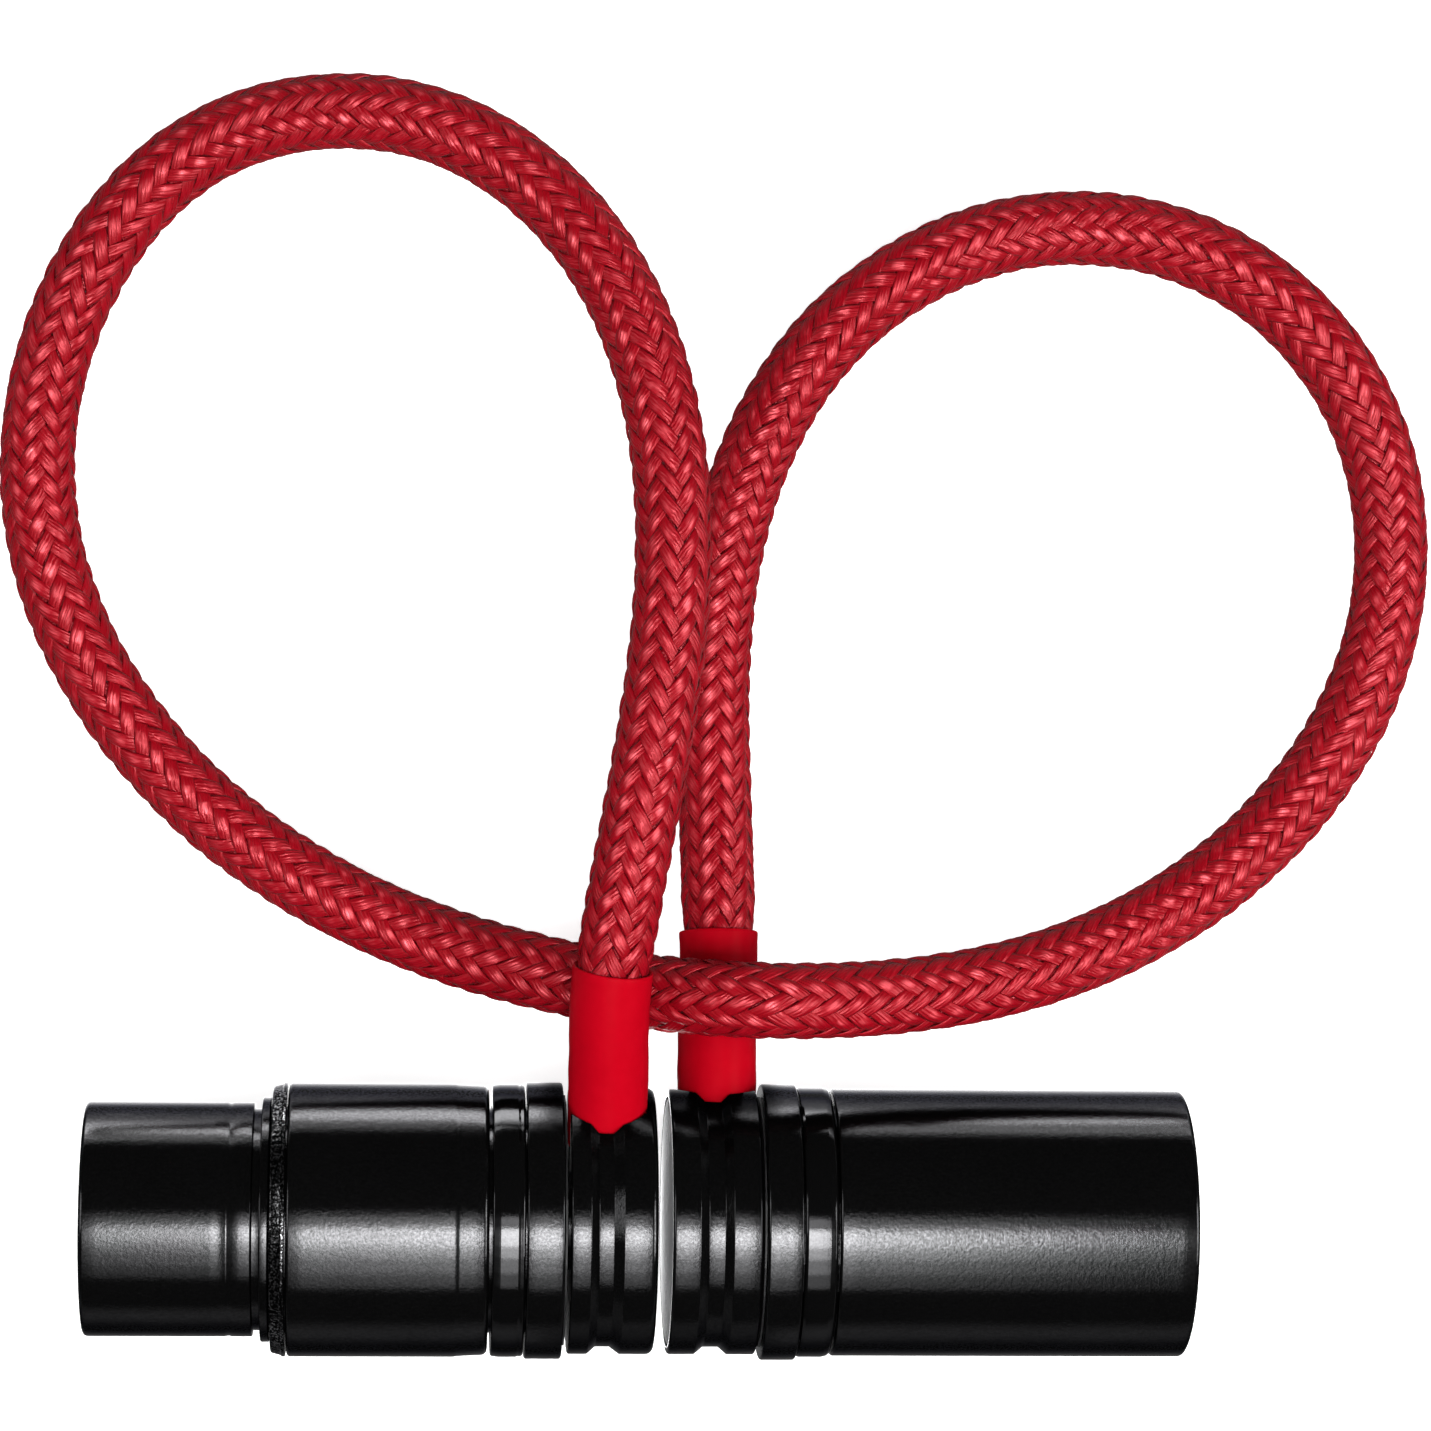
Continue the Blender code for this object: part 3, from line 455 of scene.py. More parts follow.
# ---------------------------------------------------------------- material helpers
class Shader:
    """A material's node tree. Values may be sockets, numbers or colours."""

    def __init__(self, name):
        self.material = bpy.data.materials.new(name)
        self.material.use_nodes = True
        self.tree = self.material.node_tree
        self.principled = self.tree.nodes["Principled BSDF"]

    def put(self, node, key, value):
        socket = node.inputs[key]
        if isinstance(value, bpy.types.NodeSocket):
            self.tree.links.new(value, socket)
        elif socket.type == "RGBA":
            socket.default_value = (*value, 1.0)
        else:
            socket.default_value = value

    def add(self, kind, inputs=None, **properties):
        node = self.tree.nodes.new("ShaderNode" + kind)
        for key, value in properties.items():
            setattr(node, key, value)
        for key, value in (inputs or {}).items():
            self.put(node, key, value)
        return node

    def surface(self, **inputs):
        """Sets the principled shader's inputs and returns the material."""
        for key, value in inputs.items():
            self.put(self.principled, key.replace("_", " "), value)
        return self.material

    def math(self, operation, *values, clamp=False):
        node = self.add("Math", dict(enumerate(values)), operation=operation, use_clamp=clamp)
        return node.outputs[0]

    def minus(self, a, b):
        return self.math("SUBTRACT", a, b)

    def times(self, first, *others):
        for other in others:
            first = self.math("MULTIPLY", first, other)
        return first

    def total(self, *terms):
        """Sum of terms, each a value or a (value, weight) pair."""
        values = [self.times(*term) if isinstance(term, tuple) else term for term in terms]
        result = values[0]
        for value in values[1:]:
            result = self.math("ADD", result, value)
        return result

    def ramp(self, factor, *stops):
        """Colour ramp through (position, grey level or colour) stops."""
        node = self.add("ValToRGB", {"Fac": factor})
        elements = node.color_ramp.elements
        while len(elements) < len(stops):
            elements.new(0.5)
        for element, (position, colour) in zip(elements, stops):
            element.position = position
            element.color = (*(colour if isinstance(colour, tuple) else (colour,) * 3), 1.0)
        return node.outputs[0]

    def mix(self, factor, a, b, blend="MIX"):
        # inputs 6 and 7 and output 2 are the node's colour sockets
        node = self.add("Mix", data_type="RGBA", blend_type=blend)
        for key, value in ((0, factor), (6, a), (7, b)):
            self.put(node, key, value)
        return node.outputs[2]

    def noise(self, vector, scale, detail=2.0, rough=0.5):
        return self.add("TexNoise", {"Vector": vector, "Scale": scale, "Detail": detail,
                                     "Roughness": rough}).outputs["Fac"]

    def combine(self, *values):
        return self.add("CombineXYZ", dict(enumerate(values))).outputs[0]

    def split(self, vector):
        return self.add("SeparateXYZ", {0: vector}).outputs

    def streaks(self, places, scales, detail=2.0, rough=0.5):
        """Noise over coordinates that are each multiplied by their own scale."""
        scaled = [place if scale == 1 else self.times(place, scale)
                  for place, scale in zip(places, scales)]
        return self.noise(self.combine(*scaled), 1.0, detail, rough)

    def bump(self, height, distance_mm, strength):
        return self.add("Bump", {"Strength": strength, "Distance": distance_mm * MM,
                                 "Height": height}).outputs[0]

    def scaled(self, vector, scale):
        return self.add("VectorMath", {0: vector, "Scale": scale}, operation="SCALE").outputs[0]

    def mm(self):
        """Object coordinates in millimetres."""
        return self.scaled(self.add("TexCoord").outputs["Object"], 1000.0)

    def length_of(self, a, b):
        return self.math("SQRT", self.total((a, a), (b, b)))

    def turned(self):
        """(x, radius, angle) of an object whose origin is on its axis."""
        x, y, z = self.split(self.mm())
        return x, self.length_of(y, z), self.math("ARCTAN2", z, y)

    def uv(self):
        return self.split(self.add("UVMap", uv_map="UVMap").outputs[0])[:2]

    def attribute(self, name):
        return self.add("Attribute", attribute_name=name).outputs["Fac"]

    def rise(self, source, start, end, low, high):
        """Smooth step from low to high as the source goes from start to end."""
        return self.add("MapRange", {"Value": source, "From Min": start, "From Max": end,
                                     "To Min": low, "To Max": high},
                        interpolation_type="SMOOTHSTEP").outputs[0]


def anodised(name, base=0.026, rough=0.125, grain=1.0, knurled=False):
    """Satin black anodised aluminium: fine turning lines, a blasted grain, and convex edges made
    lighter, as worn edges and as a painted edge highlight.
    """
    lines = 0.2                         # strength of the turning lines
    sh = Shader(name)
    turned = sh.turned()
    coarse = sh.streaks(turned, scales=(5.0, 5.0, 0.55), detail=3.0, rough=0.65)
    fine = sh.streaks(turned, scales=(17.0, 17.0, 2.4), rough=0.6)
    mm = sh.mm()
    blast = sh.noise(mm, scale=2.8, detail=4.0, rough=0.72)
    cloud = sh.noise(mm, scale=0.22, detail=3.0)
    height = sh.total((fine, 0.45 * lines), (blast, 0.75 * grain), (coarse, 0.35 * lines))
    pointiness = sh.add("NewGeometry").outputs["Pointiness"]
    # lighter convex edges, broken up by the grain: worn edges and a painted edge highlight
    edge_wear_and_highlight = sh.math("MULTIPLY", sh.ramp(pointiness, (0.53, 0), (0.60, 1)),
                   sh.ramp(blast, (0.42, 0), (0.7, 1)), clamp=True)
    colour = sh.mix(sh.times(cloud, 0.6), (base, base, base * 1.03),
                    (base * 1.4, base * 1.4, base * 1.44))
    if knurled:
        fleck = sh.ramp(sh.noise(mm, scale=5.5, detail=1.0), (0.47, 0.35), (0.54, 1), (0.60, 7))
        fleck_share = 1.0
    else:
        fleck = sh.ramp(sh.noise(mm, scale=5.2, rough=0.6),
                        (0.36, 0.66), (0.50, 1), (0.66, (1.45, 1.45, 1.46)))
        fleck_share = 0.65 * min(grain, 1.0)
    colour = sh.mix(fleck_share, colour, fleck, "MULTIPLY")
    return sh.surface(
        Base_Color=sh.mix(sh.times(edge_wear_and_highlight, 0.35), colour, (0.16, 0.16, 0.165)),
        Metallic=0.96,
        Roughness=sh.total(rough - 0.07, (fine, 0.08 * lines), (blast, 0.08 * grain)),
        Normal=sh.bump(height, distance_mm=0.019, strength=1.0),
        Specular_Tint=(0.35, 0.35, 0.36))


def turned_aluminium(name):
    """Bright faced aluminium with the lathe's wavering marks."""
    base = 0.86                         # brightness of the bare metal
    sh = Shader(name)
    x, r, angle = sh.turned()
    waver = sh.streaks((r, angle, x), scales=(0.35, 1.6, 1))
    radius = sh.total(r, (waver, 0.5))
    marks = sh.streaks((radius, x, angle), scales=(6.5, 6.5, 0.7), detail=3.0, rough=0.7)
    dots = sh.noise(sh.mm(), scale=6.0)
    normal = sh.bump(sh.total(marks, (dots, 0.2)), distance_mm=0.02, strength=0.6)
    fine = sh.streaks((radius, angle, x), scales=(2.6, 0.9, 2.0), detail=4.0, rough=0.75)
    bands = sh.ramp(sh.total((marks, 0.5), (fine, 0.5)), (0.38, 0), (0.60, 1))
    return sh.surface(
        Base_Color=sh.mix(bands, (base * 0.42, base * 0.43, base * 0.45), (base, base, base)),
        Metallic=0.65, Roughness=sh.total(0.36, (bands, 0.22)), Normal=normal)


def plain_metal(name, colour, rough):
    """Plated or bare metal with drawn-wire scratches along X and faint tarnish."""
    sh = Shader(name)
    mm = sh.mm()
    scratch = sh.streaks(sh.split(mm), scales=(0.6, 8.0, 8.0), rough=0.6)
    tarnish = sh.noise(mm, scale=1.2, detail=3.0)
    return sh.surface(
        Base_Color=sh.mix(sh.times(tarnish, 0.7), colour, tuple(c * 0.72 for c in colour)),
        Metallic=1.0, Roughness=sh.total(rough - 0.05, (scratch, 0.14)),
        Normal=sh.bump(scratch, distance_mm=0.008, strength=0.4))


def plastic(name, colour, rough=0.45, grain=7.0, depth_mm=0.012):
    """Moulded plastic with a fine spark-eroded texture."""
    sh = Shader(name)
    mm = sh.mm()
    texture = sh.noise(mm, scale=grain, detail=3.0, rough=0.6)
    cloud = sh.noise(mm, scale=0.5)
    return sh.surface(
        Base_Color=sh.mix(cloud, tuple(c * 0.8 for c in colour),
                          tuple(min(1.0, c * 1.25) for c in colour)),
        Roughness=sh.total(rough - 0.08, (texture, 0.16)),
        Normal=sh.bump(texture, depth_mm, strength=0.6),
        Specular_IOR_Level=0.45)


def stranded_wire(name, colour, metallic, rough):
    """Insulated or bare stranded wire: the strands' lay shows as slanting ridges."""
    lay, strands = 1.1, 7.0             # length of one slant, and ridges round the wire
    sh = Shader(name)
    x, y, z = sh.split(sh.mm())
    angle = sh.math("ARCTAN2", z, y)
    ridge = sh.math("SINE", sh.total((x, 2 * pi / lay), (angle, strands)))
    mottle = sh.noise(sh.mm(), scale=5.0)
    return sh.surface(
        Base_Color=sh.mix(mottle, tuple(c * 0.75 for c in colour), colour),
        Metallic=metallic, Roughness=sh.total(rough - 0.05, (mottle, 0.1)),
        Normal=sh.bump(sh.total((ridge, 0.5), mottle), distance_mm=0.03, strength=0.5))


def braid_yarn(name):
    """Woven polyester yarn, with painted shade and a painted highlight in its colour.

    UV.x runs across the yarn and UV.y along it. The attributes: yarn is a number for each yarn,
    depth is 0 under and 1 over its neighbours, hand is 1 for one way round and 0 for the other.
    """
    sh = Shader(name)
    u, v = sh.uv()
    yarn, depth, hand = (sh.attribute(key) for key in ("yarn", "depth", "hand"))
    from_middle = lambda: sh.math("ABSOLUTE", sh.minus(u, 0.5))
    # filaments that wander a little across the yarn
    wander = sh.streaks((u, v, yarn), scales=(1.5, 0.6, 31.0))
    across = sh.total(u, (sh.minus(wander, 0.5), 0.45))
    filament = sh.streaks((across, v, yarn), scales=(5.5, 0.30, 53.0), detail=2.5, rough=0.7)
    hair = sh.math("SINE", sh.total((across, 2 * pi * 4.5), (yarn, 20.0)))
    tone = sh.streaks((u, v, yarn), scales=(1.6, 0.42, 71.0))
    # reds by filament, by slow change of tone and by yarn
    light = sh.ramp(sh.total((filament, 0.8), sh.total((hair, 0.07), 0.1)), (0.36, 0), (0.64, 1))
    lit = sh.mix(light, (0.25, 0.001, 0.006), (0.34, 0.002, 0.010))
    lit = sh.mix(sh.ramp(tone, (0.40, 0), (0.75, 1)), lit, (0.38, 0.005, 0.014))
    yarn_share = sh.times(sh.math("FRACT", sh.times(yarn, 7.31)), 0.30)
    lit = sh.mix(yarn_share, lit, (0.28, 0.003, 0.009))
    # painted shade: the colour darkens where the yarn dips under its neighbours and towards its
    # edges
    out_of_painted_shade = sh.times(sh.ramp(depth, (0.42, 0), (0.68, 0.30), (0.88, 0.75), (1.0, 1)),
                     sh.ramp(from_middle(), (0.34, 1), (0.5, 0.45)))
    colour = sh.mix(out_of_painted_shade, (0.27, 0.002, 0.007), lit)
    # painted highlight on the crest of each float that faces up, where the filaments lie level,
    # stronger on the yarns of one hand
    facing_up = sh.split(sh.add("NewGeometry").outputs["Normal"])[2]
    painted_highlight = sh.times(sh.ramp(depth, (0.86, 0), (0.98, 1)),
                     sh.ramp(facing_up, (0.70, 0), (0.93, 1)),
                     sh.ramp(from_middle(), (0.12, 1), (0.40, 0)),
                     sh.ramp(filament, (0.42, 0.1), (0.58, 1)),
                     sh.ramp(tone, (0.38, 0.25), (0.56, 1)),
                     sh.total(0.45, (hand, 0.55)))
    painted_highlight = sh.math("MULTIPLY", painted_highlight, 1.0, clamp=True)
    # the base colour carries the painted highlight
    return sh.surface(
        Base_Color=sh.mix(painted_highlight, colour, (1.0, 0.15, 0.175)),
        Roughness=sh.total(0.23, (filament, 0.12)), Metallic=0.14,
        Normal=sh.bump(sh.total(filament, (hair, 0.20)), distance_mm=0.075, strength=0.9),
        Specular_IOR_Level=0.34, Specular_Tint=(1.0, 0.60, 0.63), Anisotropic=0.6,
        Tangent=sh.add("Tangent", direction_type="UV_MAP", uv_map="UVMap").outputs[0])


def shrink_tube(name):
    """Heat-shrunk red tubing: satin, with slight stretch marks along it and faint mottling."""
    sh = Shader(name)
    streak = sh.streaks(sh.uv(), scales=(26.0, 0.25))
    mm = sh.mm()
    mottle = sh.noise(mm, scale=0.9, detail=3.0)
    fine = sh.noise(mm, scale=7.0)
    colour = sh.mix(mottle, (0.375, 0.0006, 0.0062), (0.435, 0.0012, 0.0092))
    return sh.surface(
        Base_Color=sh.mix(sh.times(streak, 0.22), colour, (0.30, 0.0004, 0.0048)),
        Roughness=sh.total(0.34, (mottle, 0.12)),
        Normal=sh.bump(sh.total((streak, 0.5), (fine, 0.22)), distance_mm=0.03, strength=0.4),
        Specular_IOR_Level=0.015,
        Subsurface_Radius=(1.0, 0.1, 0.05), Subsurface_Scale=0.0005)


ANODISED = anodised("satin_black_anodised")
ANODISED_FINE = anodised("fine_black_anodised", rough=0.13, grain=0.4)
ANODISED_KNURL = anodised("knurled_black_anodised", base=0.018, rough=0.14, grain=1.5,
                          knurled=True)
BRIGHT = turned_aluminium("faced_aluminium")
GOLD = plain_metal("gold_plating", (0.86, 0.62, 0.24), rough=0.20)
STEEL = plain_metal("spring_steel_wire", (0.56, 0.56, 0.58), rough=0.26)
BRASS = plain_metal("brass_crimp", (0.72, 0.50, 0.20), rough=0.28)
PLASTIC = plastic("moulded_black", (0.018, 0.018, 0.019))
NYLON = plastic("dark_nylon_washer", (0.012, 0.012, 0.013), rough=0.55, grain=5.0)
JACKET = plastic("red_inner_jacket", (0.075, 0.002, 0.006), rough=0.6, grain=4.0, depth_mm=0.02)
BRAID = braid_yarn("woven_red_yarn")
SHRINK = shrink_tube("red_shrink_tube")
WIRES = {
    1: stranded_wire("bare_stranded_wire", (0.62, 0.36, 0.20), metallic=0.9, rough=0.35),
    2: stranded_wire("red_insulated_wire", (0.45, 0.015, 0.015), metallic=0.0, rough=0.4),
    3: stranded_wire("blue_insulated_wire", (0.02, 0.06, 0.38), metallic=0.0, rough=0.4)}


def replace_nodes(ob, *nodes):
    """Stands the object in for CAD nodes by hiding them."""
    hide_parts(*nodes)


def place(ob, body, node):
    """Fixes the object to a body and stands it in for a CAD node."""
    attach(ob, body)
    replace_nodes(ob, node)


# ---------------------------------------------------------------- the braid
CARRIERS = 12                      # each way round
PITCH = 2 * pi / CARRIERS
TURN_RATE = PITCH / 1.95           # radians per millimetre
BRAID_R, BRAID_TIGHT_R = 2.825, 2.585   # mid radius in the open, and under the shrink tubes
WAVE = 0.180                       # half the rise and fall of a yarn
YARN_WIDTH = 1.16
STEP = 0.325                       # spacing of the yarns' sections along the cable
# A yarn's section: place across it as a share of its width, and height in mm.
ACROSS, HEIGHT = np.array((
    (-0.5, -0.03), (-0.40, 0.055), (-0.16, 0.11), (0.16, 0.11),
    (0.40, 0.055), (0.5, -0.03), (0.26, -0.085), (-0.26, -0.085))).T


def phase(arc):
    """The carriers' turn along the cable: not quite even, as a braiding machine leaves it."""
    return TURN_RATE * (arc + 0.75 * np.sin(arc / 15.0) + 0.35 * np.sin(arc / 6.3 + 1.0))


def drift(arc):
    """Slow twist of the whole sleeve."""
    return 0.45 * np.sin(arc / 37.0) + 0.22 * np.sin(arc / 17.0 + 1.3)


def smooth01(t):
    t = np.clip(t, 0, 1)
    return t * t * (3 - 2 * t)


def mid_radius(arc):
    """The braid's mid radius: it opens out over 4 mm, starting 0.8 mm inside each tube's rim."""
    open_male = smooth01((arc - (MALE_RIM - 0.8)) / 4.0)
    open_female = smooth01(((FEMALE_RIM + 0.8) - arc) / 4.0)
    return BRAID_TIGHT_R + (BRAID_R - BRAID_TIGHT_R) * np.minimum(open_male, open_female)


def braid_mesh(name, start, end):
    """Every yarn between two arc lengths, going over and under its neighbours."""
    arc = np.linspace(start, end, int(round((end - start) / STEP)) + 1)
    rings, sides = len(arc), len(ACROSS)
    slope = mid_radius(arc) * np.gradient(phase(arc), arc)
    cos_lay = 1 / np.sqrt(1 + slope ** 2)
    sin_lay = slope * cos_lay
    # the underside's UVs run back the other way
    u = np.where(HEIGHT < -0.05, 0.5 - ACROSS, 0.5 + ACROSS)
    uv = np.stack(np.broadcast_arrays(u, (arc / cos_lay)[:, None]), -1).reshape(-1, 2)
    points, uvs, yarns, depths, hands, quads, caps = [], [], [], [], [], [], []
    base = 0
    for sign in (1, -1):
        for i in range(CARRIERS):
            # every yarn has its own small changes of width, place and thickness
            key = i + (0.37 if sign > 0 else 0.83)
            width = YARN_WIDTH * (1 + 0.05 * np.sin(0.31 * arc + 5.1 * key)
                                  + 0.03 * np.sin(1.27 * arc + 2.9 * key))
            sideways = (0.035 * np.sin(0.83 * arc + 3.7 * key)
                        + 0.03 * np.sin(0.29 * arc + 1.9 * key))
            puff = 1 + 0.18 * np.sin(0.47 * arc + 4.3 * key)[:, None]
            turn = i * PITCH + sign * phase(arc) + drift(arc)
            offset = sideways[:, None] + width[:, None] * ACROSS
            arcs = arc[:, None] - sign * offset * sin_lay[:, None]
            middle = mid_radius(arcs)
            angle = turn[:, None] + offset * cos_lay[:, None] / middle
            crossing = i + (angle - drift(arcs) + sign * phase(arcs)) / PITCH
            rise = sign * np.cos(pi / 2 * (crossing - 0.5))
            points.append(around_cable(arcs, angle, middle + WAVE * rise + HEIGHT * puff))
            uvs.append(uv)
            yarns.append(np.full(rings * sides, (key * 0.6180339) % 1.0))
            hands.append(np.full(rings * sides, 1.0 if sign > 0 else 0.0))
            depths.append((0.5 + 0.5 * rise + np.minimum(HEIGHT * 0.6, 0.0)).ravel())
            quads.append(tube_quads(rings, sides) + base)
            caps += [cap + base for cap in tube_caps(rings, sides)]
            base += rings * sides
    return raw_mesh(name, np.concatenate(points), np.concatenate(quads), caps,
                    np.concatenate(uvs),
                    {"yarn": np.concatenate(yarns),
                     "depth": np.clip(np.concatenate(depths), 0, 1),
                     "hand": np.concatenate(hands)})


def tube_mesh(name, arc, radii, closed):
    """Rings along the cable, from a grid of radii: a capped rod, or a closed sleeve."""
    rings, sides = radii.shape
    turn = np.arange(sides) / sides
    uv = np.stack(np.broadcast_arrays(turn, arc[:, None]), -1).reshape(-1, 2)
    return raw_mesh(name, around_cable(arc[:, None], 2 * pi * np.arange(sides) / sides, radii),
                    tube_quads(rings, sides, closed), [] if closed else tube_caps(rings, sides),
                    uv, {})


CUTS = (MALE_INSIDE, 87.0, 205.0, 359.0, FEMALE_INSIDE)    # arc lengths where the runs meet
# run, bodies at its ends, arc length where it flexes, half the flexing length, CAD nodes
RUNS = (
    ("male_run", "male_cap", "left_loop", arc_where(-7.2, -13.0, 0.0, 0.2), 6.0,
     ("male_tail", "left_loop")),
    ("left_arc", "left_loop", "cable_middle", arc_where(-54.9, 23.3, 0.2, 0.5), 14.0,
     ("middle",)),
    ("right_arc", "cable_middle", "right_loop", arc_where(57.0, 15.5, 0.5, 0.85), 12.0,
     ("right_loop",)),
    ("female_run", "right_loop", "female_cap", arc_where(0.8, -10.5, 0.8, 1.0), 6.3,
     ("female_tail",)))
JACKET_DEPTH = 0.33                # from the braid's mid radius down to the jacket
JACKET_SIDES, JACKET_STEP = 24, 1.2


def cable_run(run, body_a, body_b, flex, reach, nodes, start, end):
    """One stretch of braid and the jacket inside it."""
    point, tangent, _, _ = sample(np.array([flex]))
    braid = new_object("braid_" + run, braid_mesh("braid_" + run, start, end), BRAID)
    replace_nodes(braid, *["cable_braid_" + node for node in nodes])
    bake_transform(braid)
    arc = np.linspace(start, end, int((end - start) / JACKET_STEP))
    radii = np.repeat((mid_radius(arc) - JACKET_DEPTH)[:, None], JACKET_SIDES, axis=1)
    jacket = new_object("jacket_" + run, tube_mesh("jacket_" + run, arc, radii, False), JACKET)
    replace_nodes(jacket, *["cable_core_" + node for node in nodes])
    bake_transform(jacket)


for row, start, end in zip(RUNS, CUTS, CUTS[1:]):
    cable_run(*row, start, end)


def shrink_sleeve(name, inside, rim, body, node):
    """Shrunk tube with faint swellings and a rounded, slightly flared mouth at the rim."""
    way = 1.0 if rim > inside else -1.0
    length = abs(rim - inside)
    steps = max(24, int(length / 0.28))
    # section (arc length, radius): the outer wall, the lip and back along the inner wall
    section = [(inside + way * length * i / steps, SHRINK_R - 0.02) for i in range(steps - 2)]
    section += [(rim - way * back, radius) for back, radius in (
        (0.55, SHRINK_R), (0.30, SHRINK_R + 0.012),
        (0.12, SHRINK_R + 0.012), (0.03, SHRINK_R - 0.03), (0.0, SHRINK_R - 0.10),
        (0.0, SHRINK_IN_R + 0.10), (0.04, SHRINK_IN_R + 0.03), (0.15, SHRINK_IN_R))]
    section += [(rim - way * (0.6 + (length - 0.6) * i / 12), SHRINK_IN_R) for i in range(13)]
    arc, radius = (column[:, None] for column in np.array(section).T)
    sides = 72
    angle = 2 * pi * np.arange(sides) / sides
    swelling = (0.016 * np.sin(0.9 * arc + 2 * angle)
                + 0.012 * np.sin(2.3 * arc - 3 * angle + 1.0)
                + 0.010 * np.cos(6 * angle + phase(arc) * 6))
    outer_only = smooth01((radius - SHRINK_IN_R - 0.12) / 0.15)
    radii = radius + outer_only * swelling * smooth01(np.abs(arc - inside) / 2.0)
    place(new_object(name, tube_mesh(name, arc[:, 0], radii, True), SHRINK), body, node)


shrink_sleeve("male_sleeve", MALE_INSIDE + 0.3, MALE_RIM, "male_cap", "male_heat_shrink")
shrink_sleeve("female_sleeve", FEMALE_INSIDE - 0.3, FEMALE_RIM, "female_cap",
              "female_heat_shrink")


# ---------------------------------------------------------------- both connectors
# Lathe outlines are (x, radius, corner radius). Pin centres are seen from the axis.
PIN_CENTRES = {1: radial(LATCH_ANGLE + 60) * PIN_CIRCLE_R,
               2: radial(LATCH_ANGLE - 60) * PIN_CIRCLE_R,
               3: radial(LATCH_ANGLE + 180) * PIN3_R}


def port_cutters(x, tilt, y, cap_r):
    """The cable's hole through the cap's wall, and the cone that breaks its edge."""
    out = radial(tilt)
    base = Vector((x, 0, 0))
    return [round_cutter(base + out * 4.4, base + out * 13.0, PORT_R, PORT_R, y),
            round_cutter(base + out * (cap_r - 1.1), base + out * (cap_r + 1.2),
                         PORT_R - 0.55, PORT_R + 1.1, y)]


def pin_cutter(centre, x0, x1, r0, r1, y):
    return round_cutter(Vector((x0, 0, 0)) + centre, Vector((x1, 0, 0)) + centre, r0, r1, y,
                        segments=48)


def knurl(x, radius, angle):
    """Fine straight knurl on the flange's outer wall, fading out at both ends."""
    teeth, depth, x0, x1, fade = 128, 0.05, -35.15, -34.45, 0.12
    if x0 <= x <= x1 and radius > 10.5:
        share = min(1.0, min(x - x0, x1 - x) / fade)
        return radius - depth * share * (0.5 + 0.5 * cos(teeth * angle)) ** 2
    return radius


# ---------------------------------------------------------------- male connector
nose = lathe("male_nose_skin", [
    (-49.9, NOSE_BORE_R, 0.05), (-50.36, NOSE_BORE_R + 0.40, 0.15), (-50.36, NOSE_R, 0.85),
    (-38.9, NOSE_R, 0.0), (-38.75, NOSE_R - 0.06, 0.0), (-38.55, NOSE_R - 0.06, 0.0),
    (-38.4, NOSE_R, 0.0), (-36.75, NOSE_R, 0.10), (-36.70, 8.95, 0.05), (-36.09, 8.95, 0.05),
    (-36.09, 9.88, 0.12), (-35.36, 9.88, 0.12), (-35.36, SPIGOT_R, 0.05),
    (-12.45, SPIGOT_R, 0.05), (-12.45, NOSE_BORE_R, 0.05)], MALE_Y, ANODISED)
boolean(nose, [slot_cutter(-45.2, -42.6, (7.0, 12.0), 2.6, MALE_Y, corner=0.6)])
place(nose, "male_barrel", "male_nose_shell")

flange = lathe("male_flange_skin", [
    (-35.26, MALE_BORE_R, 0.05), (-35.26, 10.72, 0.18), (-34.42, 10.95, 0.05),
    (-34.36, 11.06, 0.05), (-34.08, 11.06, 0.10), (-34.08, MALE_BORE_R, 0.05)],
    MALE_Y, ANODISED_KNURL, segments=384, dent=knurl, longest=0.12)
place(flange, "male_barrel", "male_flange_ring")

barrel = lathe("male_body_skin", [
    (-33.96, MALE_BORE_R, 0.05), (-33.96, MALE_BARREL_R, 0.28), (-20.5, MALE_BARREL_R, 2.0),
    (-20.2, MALE_BARREL_R - 0.06, 1.0), (-18.1, MALE_BARREL_R - 0.16, 0.4),
    (-17.82, MALE_BARREL_R - 0.42, 0.12), (-17.82, MALE_BORE_R, 0.05)], MALE_Y, ANODISED)
place(barrel, "male_barrel", "male_barrel")

lock_ring = lathe("male_lock_skin", [
    (-17.55, MALE_BORE_R, 0.05), (-17.55, 10.95, 0.16), (-16.9, 11.05, 0.1),
    (-15.5, 11.05, 0.1), (-15.3, 10.98, 0.05), (-15.1, 11.02, 0.05),
    (-14.93, 10.92, 0.10), (-14.93, MALE_BORE_R, 0.05)], MALE_Y, ANODISED_FINE)
place(lock_ring, "male_barrel", "male_lock_ring")

collar = lathe("male_collar_skin", [
    (-14.81, MALE_BORE_R, 0.05), (-14.81, COLLAR_R, 0.16), (-11.82, COLLAR_R, 0.2),
    (-11.82, TUBE_R, 0.1), (-9.2, TUBE_R, 0.12), (-9.2, TUBE_BORE_R, 0.12),
    (-12.2, TUBE_BORE_R, 0.1), (-12.2, MALE_BORE_R, 0.1)], MALE_Y, ANODISED)
place(collar, "male_barrel", "male_swivel_collar")

cap = lathe("male_cap_skin", [
    (-11.31, CAP_MOUTH_R, 0.05), (-11.31, MALE_CAP_R, 0.16), (-9.72, MALE_CAP_R, 0.10),
    (-9.05, MALE_CAP_R - CAP_GROOVE, 0.10), (-7.88, MALE_CAP_R - CAP_GROOVE, 0.10),
    (-7.08, MALE_CAP_R, 0.10), (MALE_END_X, MALE_CAP_R, 0.85), (MALE_END_X, CAP_BORE_R, 0.12),
    (-10.5, CAP_BORE_R, 0.1), (-10.5, CAP_MOUTH_R, 0.1)], MALE_Y, ANODISED)
boolean(cap, port_cutters(MALE_EXIT_X, MALE_EXIT_TILT, MALE_Y, MALE_CAP_R))
place(cap, "male_cap", "male_rear_cap")

